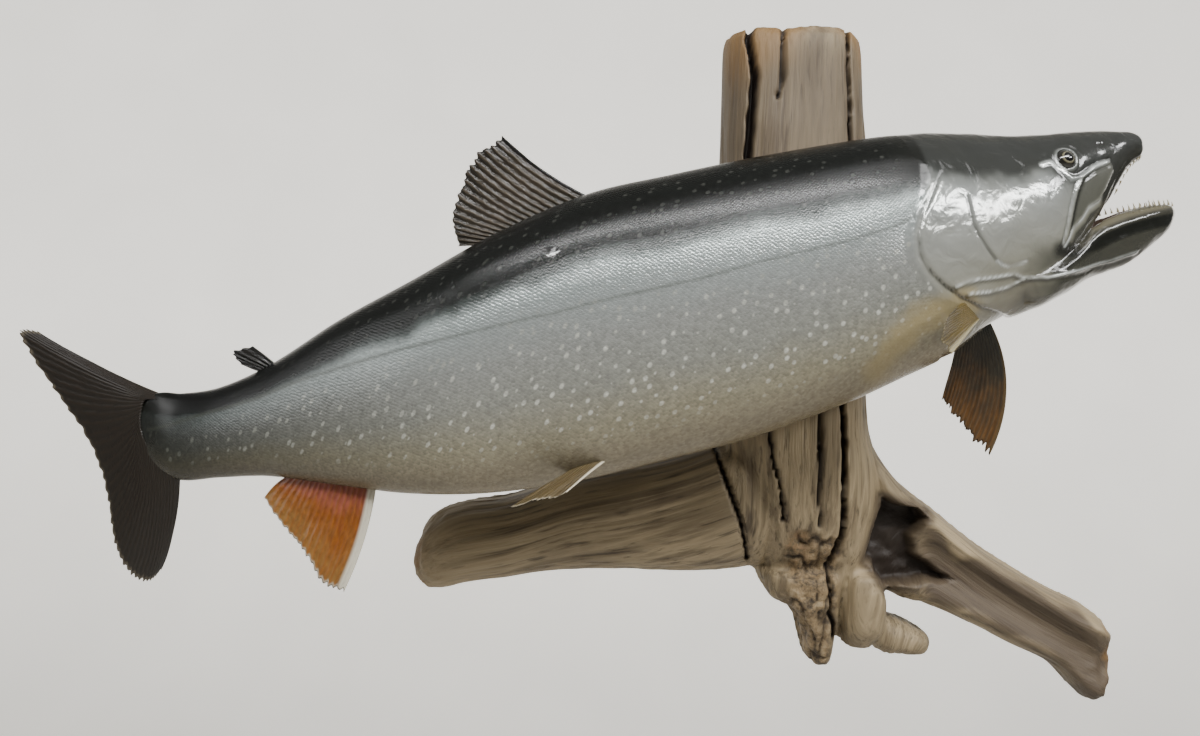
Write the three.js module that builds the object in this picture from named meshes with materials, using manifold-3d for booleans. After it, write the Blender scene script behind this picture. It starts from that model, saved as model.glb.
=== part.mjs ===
// Mounted lake trout on its driftwood, life size.
// Millimetres. X runs from the tail to the snout, Z is up, and the wall is the plane Y = 0.
// Everything lies in front of the wall, at negative Y; "out" is a distance in front of it.
import * as THREE from "three";
import { mergeVertices } from "three/addons/utils/BufferGeometryUtils.js";
import Module from "manifold-3d";

const wasm = await Module();
wasm.setup();

// ---------- Driving dimensions ----------

const GAP = 0.3; // air left between two pieces that meet
const BODY_SIDES = 24; // facets round the body
const JAW_SIDES = 18;
const TONGUE_SIDES = 12;
const WOOD_SIDES = 14;
const BODY_STEP = 30; // ring spacing along the trunk of the fish
const HEAD_STEP = 11; // ring spacing along the head, ahead of the throat, and along the jaw
const THROAT_AT = 110;
const CLEAR = 600; // a length that reaches past the whole mount

const HEAD_CUT = 76; // plane between head and shoulder, under the gill covers
const SHOULDER_CUT = -30; // shoulder to belly
const BELLY_CUT = -236; // belly to tail stalk

const EYE_RADIUS = 7.5;
const EYE_AT = 142; // X of the eye
const EYE_ANGLE = 1.0; // from the back, towards the flank
const EYE_SINK = 4.6; // the eyeball's centre lies this deep under the skin
const GILL_MIDDLE = 92; // middle plane of the head at the gill covers, in front of the wall
const MOUTH_MIDDLE = 78; // and at the mouth
const PLATE_PROUD = 1.3; // gill covers and maxillae stand this far off the head
const TOOTH_LENGTH = 3.6;
const TOOTH_RADIUS = 0.9;
const TOOTH_LIFT = 0.2; // the middle of a tooth stands this far clear of the gum

const WOOD_POWER = 2.7; // squareness of the wood's rounded face
const VALLEY_SPREAD = 0.4; // half the width of a limb's valley, in radians of its section
const CRACK_WIDTH = 2.6; // drying cracks in the wood, at their mouth
const CRACK_ROOT = 0.3; // and at their bottom
const CRACK_MOUTH_OUT = 70; // the cracks open in front of all the wood
const POCKET_FLOOR = 18; // wood left behind the dark pocket

// Stations along the fish. at: X; back and belly: Z of the upper and lower outline;
// half: half the width; out: the middle plane in front of the wall;
// widest: where between belly and back the section is widest; power: 2 is an ellipse, more is squarer.
const station = (at, back, belly, half, out, widest, power) => {
  return { at, back, belly, half, out, widest, power };
};

const FISH = [
  station(-447, 4, -20, 2.5, 77, 0.5, 2.0), // end of the scales, inside the tail fin
  station(-430, 4, -44, 7, 81, 0.5, 2.0),
  station(-408, 2.5, -54, 11.5, 86, 0.5, 2.0), // tail stalk, its thinnest
  station(-380, 8, -50, 15.5, 96, 0.5, 2.1),
  station(-345, 24, -47, 20.5, 104, 0.5, 2.1), // adipose fin
  station(-300, 53, -50, 27.5, 112, 0.5, 2.1), // anal fin
  station(-255, 78, -53, 35, 118, 0.5, 2.1),
  station(-205, 107, -51, 42.5, 119, 0.5, 2.2), // rear of the dorsal fin
  station(-150, 132, -42, 48, 118, 0.5, 2.2), // front of the dorsal fin
  station(-100, 145, -29, 50.5, 115, 0.5, 2.2),
  station(-45, 158, -14, 51, 110, 0.5, 2.2), // thickest part of the trunk
  station(15, 170, 9, 49.5, 105, 0.5, 2.2),
  station(48, 175, 24, 47, 100, 0.52, 2.2), // rear edge of the gill cover
  station(80, 177, 38, 44, 95, 0.52, 2.2), // pectoral fins
  station(THROAT_AT, 177, 53, 39.5, 89, 0.52, 2.2),
  station(135, 179, 67, 33.5, 83, 0.54, 2.2),
  station(150, 181, 88, 28.5, 80, 0.6, 2.3),
  station(165, 182.7, 112, 24, 76, 0.55, 2.4),
  station(178, 183.6, 133, 20, 72, 0.5, 2.6), // corner of the open mouth
  station(187, 184, 151, 17, 70, 0.45, 2.8),
  station(196, 184, 163, 13, 68, 0.42, 2.8),
  station(203, 181.5, 168, 8.8, 67, 0.42, 2.6),
  station(207, 176.5, 172, 3, 66, 0.45, 2.2), // snout
];

const JAW = [
  station(128, 96, 61, 29, 84, 0.6, 2.2),
  station(150, 108, 76, 25.5, 80, 0.62, 2.3),
  station(172, 127, 89, 22, 74, 0.65, 2.4),
  station(198, 135, 99, 17, 69, 0.68, 2.5),
  station(216, 138.5, 112, 12.5, 65, 0.66, 2.4),
  station(228, 139, 122, 7, 62, 0.62, 2.2),
  station(233, 136, 131, 2, 60, 0.55, 2.0), // chin
];

// The hollow of the mouth: palate above, the trough of the lower jaw below, and the throat behind.
const MOUTH = [
  station(126, 118, 112, 4, 84, 0.5, 2.0),
  station(140, 130, 107, 12, 81, 0.5, 2.2),
  station(160, 146, 106, 15.5, 77, 0.5, 2.4),
  station(176, 160, 107, 14.5, 73, 0.5, 2.6),
  station(188, 167, 110, 12.5, 70, 0.5, 2.8),
  station(200, 171.5, 117, 7.5, 67.5, 0.5, 2.8),
  station(205, 171.5, 122, 4.5, 66.5, 0.5, 2.6),
  station(216, 156, 125, 6.5, 65, 0.35, 2.4),
  station(225, 148, 131, 3, 62.5, 0.4, 2.0),
];

const TONGUE = [
  station(146, 118, 108.5, 5, 80, 0.5, 2.2),
  station(162, 120, 107.5, 7, 76.5, 0.5, 2.4),
  station(182, 121, 110, 6.5, 71.5, 0.5, 2.4),
  station(196, 123, 117.5, 4, 68.5, 0.5, 2.2),
];

// ---------- Curves and stations ----------

// A smooth curve through knots [x, value]: a cubic with Catmull-Rom slopes between uneven knots.
function smooth(knots, x) {
  const last = knots.length - 1;
  let i = 0;
  while (i < last - 1 && x > knots[i + 1][0]) i++;
  const slope = (k) => {
    const before = knots[Math.max(k - 1, 0)];
    const after = knots[Math.min(k + 1, last)];
    return (after[1] - before[1]) / (after[0] - before[0]);
  };
  const width = knots[i + 1][0] - knots[i][0];
  const u = (x - knots[i][0]) / width;
  const fromHere = (2 * u ** 3 - 3 * u ** 2 + 1) * knots[i][1] + (u ** 3 - 2 * u ** 2 + u) * width * slope(i);
  const toNext = (3 * u ** 2 - 2 * u ** 3) * knots[i + 1][1] + (u ** 3 - u ** 2) * width * slope(i + 1);
  return fromHere + toNext;
}

function stationAt(stations, x) {
  const value = (key) => smooth(stations.map((s) => [s.at, s[key]]), x);
  return station(x, ...["back", "belly", "half", "out", "widest", "power"].map(value));
}

const squircle = (t, power) => Math.sign(t) * Math.abs(t) ** (2 / power);

// The point of a section at an angle: 0 is the back, a quarter turn the side away from the wall.
function skinPoint(s, angle, grow = 0) {
  const widestZ = s.belly + s.widest * (s.back - s.belly);
  const rise = Math.cos(angle) >= 0 ? s.back - widestZ : widestZ - s.belly;
  const y = -s.out - squircle(Math.sin(angle), s.power) * (s.half + grow);
  const z = widestZ + squircle(Math.cos(angle), s.power) * (rise + grow);
  return new THREE.Vector3(s.at, y, z);
}

function section(s, sides, grow) {
  return Array.from({ length: sides }, (_, i) => skinPoint(s, (2 * Math.PI * i) / sides, grow));
}

// Ring places from the first station to the last: every station, and even steps between two of them.
function ringPlaces(stations, step) {
  const places = [stations[0].at];
  for (let i = 1; i < stations.length; i++) {
    const start = stations[i - 1].at;
    const span = stations[i].at - start;
    const count = Math.max(1, Math.round(span / step));
    for (let k = 1; k <= count; k++) places.push(start + (span * k) / count);
  }
  return places;
}

// ---------- Solids ----------

// Skins a row of closed rings, each with the same number of points, and caps both ends.
function loft(rings) {
  const sides = rings[0].length;
  const points = rings.flat();
  const faces = [];
  for (let r = 0; r + 1 < rings.length; r++)
    for (let i = 0; i < sides; i++) {
      const a = r * sides + i;
      const b = r * sides + ((i + 1) % sides);
      faces.push([a, b, b + sides], [a, b + sides, a + sides]);
    }
  const cap = (ring, start, turned) => {
    const middle = new THREE.Vector3();
    ring.forEach((p) => middle.addScaledVector(p, 1 / sides));
    points.push(middle);
    for (let i = 0; i < sides; i++) {
      const edge = [start + i, start + ((i + 1) % sides)];
      faces.push(turned ? [points.length - 1, edge[0], edge[1]] : [points.length - 1, edge[1], edge[0]]);
    }
  };
  cap(rings[0], 0, false);
  cap(rings.at(-1), (rings.length - 1) * sides, true);
  const geometry = new THREE.BufferGeometry().setFromPoints(points);
  geometry.setIndex(faces.flat());
  return geometry;
}

function solid(geometry) {
  const bare = new THREE.BufferGeometry().setAttribute("position", geometry.getAttribute("position"));
  bare.setIndex(geometry.index);
  const merged = mergeVertices(bare, 1e-4);
  const vertProperties = merged.getAttribute("position").array;
  const triVerts = new Uint32Array(merged.index.array);
  const build = () => new wasm.Manifold(new wasm.Mesh({ numProp: 3, vertProperties, triVerts }));
  const made = build();
  if (made.volume() > 0) return made;
  for (let i = 0; i < triVerts.length; i += 3) {
    [triVerts[i + 1], triVerts[i + 2]] = [triVerts[i + 2], triVerts[i + 1]];
  }
  return build();
}

const fishLoft = (stations, step, sides, grow = 0) =>
  solid(loft(ringPlaces(stations, step).map((x) => section(stationAt(stations, x), sides, grow))));

// All the space between two X planes.
function slab(fromX, toX) {
  const box = new THREE.BoxGeometry(toX - fromX, CLEAR, CLEAR);
  return solid(box.translate((fromX + toX) / 2, 0, 0));
}

// An outline of [x, z] points carried from the nearer Y to the farther one.
function prism(outline, nearY, farY) {
  const shape = new THREE.Shape(outline.map(([x, z]) => new THREE.Vector2(x, z)));
  const block = new THREE.ExtrudeGeometry(shape, { depth: farY - nearY, bevelEnabled: false });
  block.rotateX(Math.PI / 2);
  return solid(block.translate(0, farY, 0));
}

function ball(centre, radius, segments = 14) {
  const sphere = new THREE.SphereGeometry(radius, segments, segments / 2);
  return solid(sphere.translate(centre.x, centre.y, centre.z));
}

// ---------- The fish ----------

const upperFish = (grow) => {
  const throat = FISH.findIndex((s) => s.at === THROAT_AT);
  const places = [
    ...ringPlaces(FISH.slice(0, throat + 1), BODY_STEP),
    ...ringPlaces(FISH.slice(throat), HEAD_STEP).slice(1),
  ];
  return solid(loft(places.map((x) => section(stationAt(FISH, x), BODY_SIDES, grow))));
};

const body = upperFish(0);
const bodyAndGap = upperFish(GAP);
const jawBlock = fishLoft(JAW, HEAD_STEP, JAW_SIDES);
const mouthHollow = fishLoft(MOUTH, HEAD_STEP, JAW_SIDES);

// Teeth are four-sided spikes rooted in the rim. side is +1 away from the wall and -1 towards it.
function toothRow({ stations, from, to, count, edge, spread, down }) {
  const teeth = [];
  for (const side of [1, -1])
    for (let i = 0; i < count; i++) {
      const x = from + ((to - from) * i) / (count - 1);
      const s = stationAt(stations, x);
      const spike = new THREE.ConeGeometry(TOOTH_RADIUS, TOOTH_LENGTH, 4);
      if (down) spike.rotateX(Math.PI);
      const lift = down ? -TOOTH_LIFT : TOOTH_LIFT;
      spike.translate(x, -s.out - side * s.half * spread, s[edge] + lift);
      teeth.push(solid(spike));
    }
  return teeth;
}

const upperTeeth = toothRow({
  stations: FISH, from: 184, to: 203, count: 8, edge: "belly", spread: 0.78, down: true,
});
const lowerTeeth = toothRow({
  stations: JAW, from: 186, to: 229, count: 12, edge: "back", spread: 0.66, down: false,
});

// The line between the head and the lower jaw, from the open mouth down behind the throat.
const JAW_LINE = [[250, 134], [179, 131.5], [161, 109], [150, 103], [136, 92], [122, 78], [114, 40]];
const underJawLine = (shift) =>
  prism([...JAW_LINE.map(([x, z]) => [x - shift, z + shift]), [250, 40]], -CLEAR, 0);

const throat = body.intersect(underJawLine(0));
const fleshUpper = wasm.Manifold.union([body, ...upperTeeth]).subtract(mouthHollow);
const fleshJaw = wasm.Manifold.union([jawBlock, throat, ...lowerTeeth]).subtract(mouthHollow);

const raised = upperFish(PLATE_PROUD);
const raisedJaw = fishLoft(JAW, HEAD_STEP, JAW_SIDES, PLATE_PROUD);
const jawAndGap = fishLoft(JAW, HEAD_STEP, JAW_SIDES, GAP);

// Opercle and branchiostegal rays together: one flap, as far as the throat.
const GILL_COVER = [
  [52, 139], [46.5, 122], [43, 110], [45, 98.5], [52, 89], [61, 82], [74, 75], [90, 69.5], [104, 67],
  [117, 66], [124, 78], [114, 96], [102, 94], [94, 97], [86, 105], [77.5, 118], [74, 135], [62, 143],
];
const MAXILLA = [
  [173, 162], [161, 158], [151, 151], [147, 142], [145, 131], [143, 120], [141, 109],
  [148, 117], [155, 125], [160, 131.5], [168, 138], [174, 147], [179, 157],
];

// Raised plates hug the head: the shell is cut out by an outline, on one side of the middle plane.
const gillShell = raised.add(raisedJaw).subtract(bodyAndGap).subtract(jawAndGap);
const maxillaShell = raised.subtract(bodyAndGap);

function plate(shell, outline, middle, side) {
  const half = side > 0 ? prism(outline, -CLEAR, -middle) : prism(outline, -middle, 0);
  return shell.intersect(half);
}

// ---------- Fins ----------

// A fin is a fan of rays from its base line to its margin. Each list holds [x, out, z] points, one
// for one; bow bends the first and the last ray in the fin's own plane, and the thickness tapers
// from root to edge.
const finPoint = ([x, out, z]) => new THREE.Vector3(x, -out, z);

function fin({ base, margin, root, edge, bow = [0, 0], across = 8, along = 4 }) {
  const roots = new THREE.CatmullRomCurve3(base.map(finPoint), false, "centripetal");
  const tips = new THREE.CatmullRomCurve3(margin.map(finPoint), false, "centripetal");
  const normal = finNormal(base, margin);
  const layer = (side) => {
    const points = [];
    for (let t = 0; t <= across; t++)
      for (let s = 0; s <= along; s++) {
        const from = roots.getPoint(t / across);
        const ray = tips.getPoint(t / across).sub(from);
        const reach = s / along;
        const depth = THREE.MathUtils.lerp(bow[0], bow[1], t / across) * 4 * reach * (1 - reach);
        const bent = ray.clone().cross(normal).setLength(depth);
        const thickness = THREE.MathUtils.lerp(root, edge, reach);
        const point = from.addScaledVector(ray, reach).add(bent);
        points.push(point.addScaledVector(normal, (side * thickness) / 2));
      }
    return points;
  };
  return solid(sheetSolid(layer(1), layer(-1), across, along));
}

// The unit normal of a fin's mean plane, on the side away from the wall.
function finNormal(base, margin) {
  const first = finPoint(margin[0]).sub(finPoint(base[0]));
  const last = finPoint(margin.at(-1)).sub(finPoint(base.at(-1)));
  const spread = finPoint(margin.at(-1)).sub(finPoint(margin[0]));
  const normal = first.add(last).cross(spread).normalize();
  return normal.y > 0 ? normal.negate() : normal;
}

// Two layers of the same grid, joined round their edges.
function sheetSolid(front, back, across, along) {
  const points = [...front, ...back];
  const offset = front.length;
  const id = (t, s) => t * (along + 1) + s;
  const faces = [];
  for (let t = 0; t < across; t++)
    for (let s = 0; s < along; s++) {
      const [a, b, c, d] = [id(t, s), id(t + 1, s), id(t + 1, s + 1), id(t, s + 1)];
      faces.push([a, b, c], [a, c, d]);
      faces.push([a + offset, c + offset, b + offset], [a + offset, d + offset, c + offset]);
    }
  const rim = [];
  for (let t = 0; t < across; t++) rim.push(id(t, 0));
  for (let s = 0; s < along; s++) rim.push(id(across, s));
  for (let t = across; t > 0; t--) rim.push(id(t, along));
  for (let s = along; s > 0; s--) rim.push(id(0, s));
  rim.forEach((a, i) => {
    const b = rim[(i + 1) % rim.length];
    faces.push([a, a + offset, b + offset], [a, b + offset, b]);
  });
  const geometry = new THREE.BufferGeometry().setFromPoints(points);
  return geometry.setIndex(faces.flat());
}

const FINS = {
  dorsal_fin: {
    base: [[-147, 118, 130], [-168, 118, 121], [-184, 118.5, 113], [-198, 119, 106], [-209, 119, 100]],
    margin: [[-203, 118, 167], [-219, 118, 156], [-227, 118.5, 138], [-232, 119, 116], [-228, 119, 99]],
    root: 4.5, edge: 1, bow: [-3, 0],
  },
  adipose_fin: {
    base: [[-340, 104, 22], [-344, 104, 19.5], [-348, 104, 17]],
    margin: [[-358, 103, 35.5], [-372, 101, 31], [-366, 102, 23]],
    root: 4, edge: 2, across: 6,
  },
  tail_fin: {
    base: [
      [-416, 85, -1], [-426, 83, -1.5], [-433, 81, -3], [-436, 80, -12], [-436, 80, -20],
      [-433, 81, -28], [-428, 82, -37], [-420, 84, -45], [-410, 86, -50],
    ],
    margin: [
      [-522, 48, 40], [-537, 45, 39], [-513, 51, 5], [-484, 58, -31], [-470, 60, -66],
      [-466, 57, -102], [-457, 55, -125], [-445, 55, -131], [-435, 56, -122],
    ],
    root: 8, edge: 1.2, bow: [0, 1.5], across: 16, along: 5,
  },
  anal_fin: {
    base: [[-276, 117, -49], [-290, 115, -48], [-305, 113, -46], [-318, 111, -45], [-330, 109, -44]],
    margin: [[-296, 119, -118], [-309, 119, -111], [-321, 116, -93], [-334, 113, -79], [-349, 108, -61]],
    root: 4.5, edge: 1, bow: [-3, 2],
  },
  pelvic_fin_right: {
    base: [[-124, 131, -19], [-131, 132, -22], [-139, 132, -25], [-146, 132, -28]],
    margin: [[-158, 171, -42], [-170, 183, -44], [-182, 182, -47], [-190, 174, -51]],
    root: 3.5, edge: 1, across: 6,
  },
  pelvic_fin_left: {
    base: [[-124, 104, -19], [-131, 103, -22], [-139, 103, -25], [-146, 103, -28]],
    margin: [[-158, 64, -42], [-170, 52, -44], [-182, 53, -47], [-190, 61, -51]],
    root: 3.5, edge: 1, across: 6,
  },
  pectoral_fin_right: {
    base: [[88, 122, 59], [84, 126, 62.5], [80, 129, 66.5], [76, 131, 71]],
    margin: [[46, 205, 43], [43.5, 199, 51], [49, 184, 59.5], [60, 162, 68]],
    root: 5, edge: 1.2, across: 6,
  },
  pectoral_fin_left: {
    base: [[107, 68, 56], [104, 67, 57], [101, 66, 58], [98, 65, 59]],
    margin: [[122, 50, -32], [108, 52, -20], [96, 54, -6], [88, 56, 5]],
    root: 5, edge: 1.2, bow: [-14, 0], along: 6,
  },
};

// ---------- The driftwood ----------

// Wood lies flat on the wall. A wood station gives a section across the limb's run: at is the place
// along the run, low and high its two edges on the wall, and deep how far it bulges off the wall.
const wood = (at, low, high, deep) => ({ at, low, high, deep });

const TRUNK = [
  wood(-118, -22, 62, 36), wood(-100, -34, 56, 48), wood(-70, -46, 58, 56), wood(-40, -56, 56, 60),
  wood(-10, -61, 47, 62), wood(40, -62, 44, 62), wood(100, -61, 42, 62), wood(160, -60, 40, 60),
  wood(222, -59.5, 36, 57), wood(246, -59, 34, 55), wood(252, -57, 31, 50),
];
const LEFT_LIMB = [
  wood(-269, -126, -110, 16), wood(-264, -136, -95, 34), wood(-252, -139, -84, 44), wood(-232, -133, -77, 48),
  wood(-200, -128, -71, 48), wood(-160, -122, -57, 49), wood(-120, -122, -46, 50), wood(-80, -122, -36, 52),
  wood(-44, -119, -20, 54), wood(-25, -117, -10, 50),
];
const RIGHT_ROOT = [
  wood(40, -112, -4, 40), wood(58, -129, -38, 46), wood(73, -136, -56, 46), wood(95, -143, -71, 44),
  wood(129, -156, -97, 42), wood(161, -171, -117, 41), wood(187, -185, -131, 42), wood(205, -203, -139, 43),
  wood(215, -208, -145, 42), wood(223, -196, -153, 34), wood(227, -178, -160, 18),
];
const ROTTEN_TIP = [
  wood(-188, 15, 27, 16), wood(-182, 10, 30, 28), wood(-165, 5, 31, 36), wood(-148, -1, 33, 42),
  wood(-134, -20, 36, 46), wood(-117, -28, 40, 48),
];
const HEEL = [
  wood(-172, 36, 58, 30), wood(-158, 33, 66, 42), wood(-146, 32, 66, 46), wood(-132, 32, 64, 48),
  wood(-117, 34, 57, 48),
];
const SIDE_STUB = [
  wood(60, -176, -150, 28), wood(72, -179, -152, 28), wood(84, -180, -156, 26), wood(94, -180, -162, 22),
  wood(100, -177, -166, 14), wood(102, -174, -169, 6),
];

// Half a round bulging off the wall, with a dip along the run where the wood has a valley.
function woodSection(s, upright, grow, valley) {
  const points = [];
  const half = (s.high - s.low) / 2 + grow;
  const middle = (s.high + s.low) / 2;
  for (let i = 0; i <= WOOD_SIDES; i++) {
    const angle = (Math.PI * i) / WOOD_SIDES;
    const across = middle + squircle(Math.cos(angle), WOOD_POWER) * half;
    const dip = 1 - valley * Math.exp(-(((angle - Math.PI / 2) / VALLEY_SPREAD) ** 2));
    const behind = i === 0 || i === WOOD_SIDES ? grow : 0;
    const y = behind - squircle(Math.sin(angle), WOOD_POWER) * (s.deep + grow) * dip;
    points.push(upright ? new THREE.Vector3(across, y, s.at) : new THREE.Vector3(s.at, y, across));
  }
  return points;
}

function limb(stations, { upright = false, step = 28, grow = 0, valley = 0 } = {}) {
  const value = (key, x) => smooth(stations.map((s) => [s.at, s[key]]), x);
  const places = ringPlaces(stations, step);
  const rings = places.map((x, i) => {
    const end = i === 0 ? -grow : i === places.length - 1 ? grow : 0;
    const here = wood(x + end, value("low", x), value("high", x), value("deep", x));
    return woodSection(here, upright, grow, valley);
  });
  return solid(loft(rings));
}

// A drying crack: a wedge along a line of [x, z] on the face of the wood, closing inwards.
function crack(line, depth, width) {
  const rings = line.map(([x, z], i) => {
    const end = i === 0 || i === line.length - 1;
    const mouth = end ? width * 0.15 : width / 2;
    const point = (offset, out) => new THREE.Vector3(x + offset, -out, z);
    return [
      point(-mouth, CRACK_MOUTH_OUT), point(mouth, CRACK_MOUTH_OUT),
      point(CRACK_ROOT / 2, CRACK_MOUTH_OUT - depth), point(-CRACK_ROOT / 2, CRACK_MOUTH_OUT - depth),
    ];
  });
  return solid(loft(rings));
}

const CRACKS = [
  crack([[-44, 256], [-46, 243], [-42, 218], [-43, 190], [-45, 160], [-45, 140]], 30, CRACK_WIDTH * 1.6),
  crack([[-24, 256], [-25, 242], [-25, 215], [-27, 205]], 17, CRACK_WIDTH),
  crack([[19, 256], [19, 240], [21, 200], [22, 160], [21, 110]], 20, CRACK_WIDTH),
  crack([[-26, 5], [-25, -14], [-20, -43], [-14, -72], [-11, -86]], 18, CRACK_WIDTH * 0.7),
  crack([[6, 15], [7, -4], [9, -30], [9, -60], [11, -82]], 18, CRACK_WIDTH * 0.8),
  crack([[20, 15], [22, 0], [25, -30], [26, -60], [26.5, -95], [22, -112]], 32, CRACK_WIDTH * 1.3),
];

// The dark pocket between the flare of the trunk and the right root.
const POCKET = [
  [56, -62], [66, -66], [83, -72], [89, -78], [81, -90], [82, -103], [96, -111], [112, -121], [97, -122],
  [72, -125], [60, -126], [46, -106], [50, -92],
];

// The limbs in the order they are grown: each keeps clear of the fish and of those before it.
const LIMBS = [
  ["wood_trunk", TRUNK, { upright: true }],
  ["wood_right_root", RIGHT_ROOT, { valley: 0.3 }],
  ["wood_heel", HEEL, { upright: true }],
  ["wood_rotten_tip", ROTTEN_TIP, { upright: true }],
  ["wood_left_limb", LEFT_LIMB, {}],
  ["wood_side_stub", SIDE_STUB, {}],
];
const hollows = wasm.Manifold.union([...CRACKS, prism(POCKET, -CLEAR, -POCKET_FLOOR)]);

function driftwood() {
  let taken = wasm.Manifold.union([bodyAndGap, jawAndGap]);
  return LIMBS.map(([name, stations, form]) => {
    const piece = limb(stations, form).subtract(taken).subtract(hollows);
    taken = taken.add(limb(stations, { ...form, grow: GAP }));
    return [name, piece];
  });
}

// ---------- Nodes ----------

// The skin's outward direction at a station and an angle, from two short steps on the surface.
function skinNormal(x, angle) {
  const here = skinPoint(stationAt(FISH, x), angle);
  const along = skinPoint(stationAt(FISH, x + 0.5), angle).sub(here);
  const round = skinPoint(stationAt(FISH, x), angle + 0.02).sub(here);
  const normal = along.cross(round).normalize();
  const outward = here.clone().sub(new THREE.Vector3(x, -stationAt(FISH, x).out, here.z));
  return normal.dot(outward) < 0 ? normal.negate() : normal;
}

const eyeCentre = (side) => {
  const surface = skinPoint(stationAt(FISH, EYE_AT), side * EYE_ANGLE);
  return surface.addScaledVector(skinNormal(EYE_AT, side * EYE_ANGLE), -EYE_SINK);
};

const SIDES = { right: 1, left: -1 };
const sockets = Object.values(SIDES).map((side) => ball(eyeCentre(side), EYE_RADIUS + GAP));
const aheadOfShoulder = slab(HEAD_CUT + GAP / 2, CLEAR);
const headSolid = fleshUpper
  .intersect(aheadOfShoulder)
  .subtract(underJawLine(GAP))
  .subtract(jawAndGap)
  .subtract(wasm.Manifold.union(sockets));

const look = (color, roughness) => new THREE.MeshStandardMaterial({ color, roughness, metalness: 0 });
const LOOKS = {
  back: look(0x4a4e4d, 0.35),
  flank: look(0x8e9492, 0.3),
  cheek: look(0x9a9f9d, 0.2),
  jaw: look(0x6f6c5e, 0.25),
  darkFin: look(0x3a2f22, 0.4),
  orangeFin: look(0xb0743f, 0.3),
  paleFin: look(0xcfc3a4, 0.35),
  olive: look(0x8a7c55, 0.35),
  eye: look(0x1c1a16, 0.08),
  tongue: look(0xb98f86, 0.4),
  wood: look(0x8a7c66, 0.85),
  rot: look(0x9c6f43, 0.95),
};

function geometryOf(manifold) {
  const mesh = manifold.getMesh();
  const geometry = new THREE.BufferGeometry();
  geometry.setAttribute("position", new THREE.BufferAttribute(mesh.vertProperties, 3));
  geometry.setIndex(new THREE.BufferAttribute(mesh.triVerts, 1));
  geometry.computeVertexNormals();
  return geometry;
}

const group = new THREE.Group();

// Keeps the largest piece of a cut solid and adds it to the group under its name.
function add(name, manifold, material) {
  const pieces = manifold.decompose();
  const largest = pieces.reduce((a, b) => (b.volume() > a.volume() ? b : a));
  const mesh = new THREE.Mesh(geometryOf(largest), material);
  mesh.name = name;
  group.add(mesh);
}

add("head", headSolid, LOOKS.back);
add("lower_jaw", fleshJaw.intersect(aheadOfShoulder), LOOKS.jaw);
add("shoulder", body.intersect(slab(SHOULDER_CUT + GAP / 2, HEAD_CUT - GAP / 2)), LOOKS.flank);
add("belly", body.intersect(slab(BELLY_CUT + GAP / 2, SHOULDER_CUT - GAP / 2)), LOOKS.flank);
add("tail_stalk", body.intersect(slab(-CLEAR, BELLY_CUT - GAP / 2)), LOOKS.flank);
add("tongue", fishLoft(TONGUE, HEAD_STEP, TONGUE_SIDES), LOOKS.tongue);
for (const [word, side] of Object.entries(SIDES)) {
  add(`gill_cover_${word}`, plate(gillShell, GILL_COVER, GILL_MIDDLE, side), LOOKS.cheek);
  add(`maxilla_${word}`, plate(maxillaShell, MAXILLA, MOUTH_MIDDLE, side), LOOKS.cheek);
  add(`eye_${word}`, ball(eyeCentre(side), EYE_RADIUS), LOOKS.eye);
}

const FIN_LOOKS = {
  dorsal_fin: LOOKS.darkFin,
  adipose_fin: LOOKS.darkFin,
  tail_fin: LOOKS.darkFin,
  anal_fin: LOOKS.orangeFin,
  pelvic_fin_right: LOOKS.paleFin,
  pelvic_fin_left: LOOKS.paleFin,
  pectoral_fin_right: LOOKS.olive,
  pectoral_fin_left: LOOKS.darkFin,
};
for (const [name, sizes] of Object.entries(FINS)) add(name, fin(sizes).subtract(bodyAndGap), FIN_LOOKS[name]);

for (const [name, piece] of driftwood()) {
  add(name, piece, name === "wood_rotten_tip" ? LOOKS.rot : LOOKS.wood);
}

export default group;
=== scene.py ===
"""The finish of a mounted lake trout on driftwood: skin, coat of scales, fins, eyes, mouth and wood.

Lengths are millimetres until a mesh is written. X runs from the tail to the snout, Z is up, and the
wall is the plane Y = 0, with the whole mount in front of it at negative Y.

In a node's inputs, a MapRange takes its value as 0, the range it reads as 1 and 2 and the range it gives
as 3 and 4, each from 0 to 1 where they are left out. A colour Mix takes its share as 0 and its two
colours as 6 and 7.
"""

import itertools
import logging
import math
from collections.abc import Callable, Sequence
from dataclasses import dataclass, field
from enum import Enum

import bmesh
import bpy
import numpy as np
from bmesh.types import BMesh
from bpy.types import Material, Mesh, NodeSocket, NodeTree, Object
from mathutils import Matrix, Vector


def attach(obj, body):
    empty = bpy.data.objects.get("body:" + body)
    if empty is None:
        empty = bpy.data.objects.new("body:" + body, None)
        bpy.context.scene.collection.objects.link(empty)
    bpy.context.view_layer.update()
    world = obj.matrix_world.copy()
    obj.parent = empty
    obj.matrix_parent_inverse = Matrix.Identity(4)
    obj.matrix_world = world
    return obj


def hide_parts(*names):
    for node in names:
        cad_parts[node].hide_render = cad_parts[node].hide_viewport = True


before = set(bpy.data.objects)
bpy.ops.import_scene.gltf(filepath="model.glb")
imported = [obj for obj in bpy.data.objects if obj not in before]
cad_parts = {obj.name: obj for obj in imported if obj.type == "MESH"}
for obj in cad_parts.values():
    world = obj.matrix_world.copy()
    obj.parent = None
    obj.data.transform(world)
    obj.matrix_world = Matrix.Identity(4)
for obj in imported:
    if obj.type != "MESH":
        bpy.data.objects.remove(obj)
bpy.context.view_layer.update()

log = logging.getLogger("mounted_trout")

Array = np.ndarray
Point = tuple[float, float, float]
Line = tuple[tuple[float, float], ...]
Tones = Sequence[tuple[float, str]]

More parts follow.
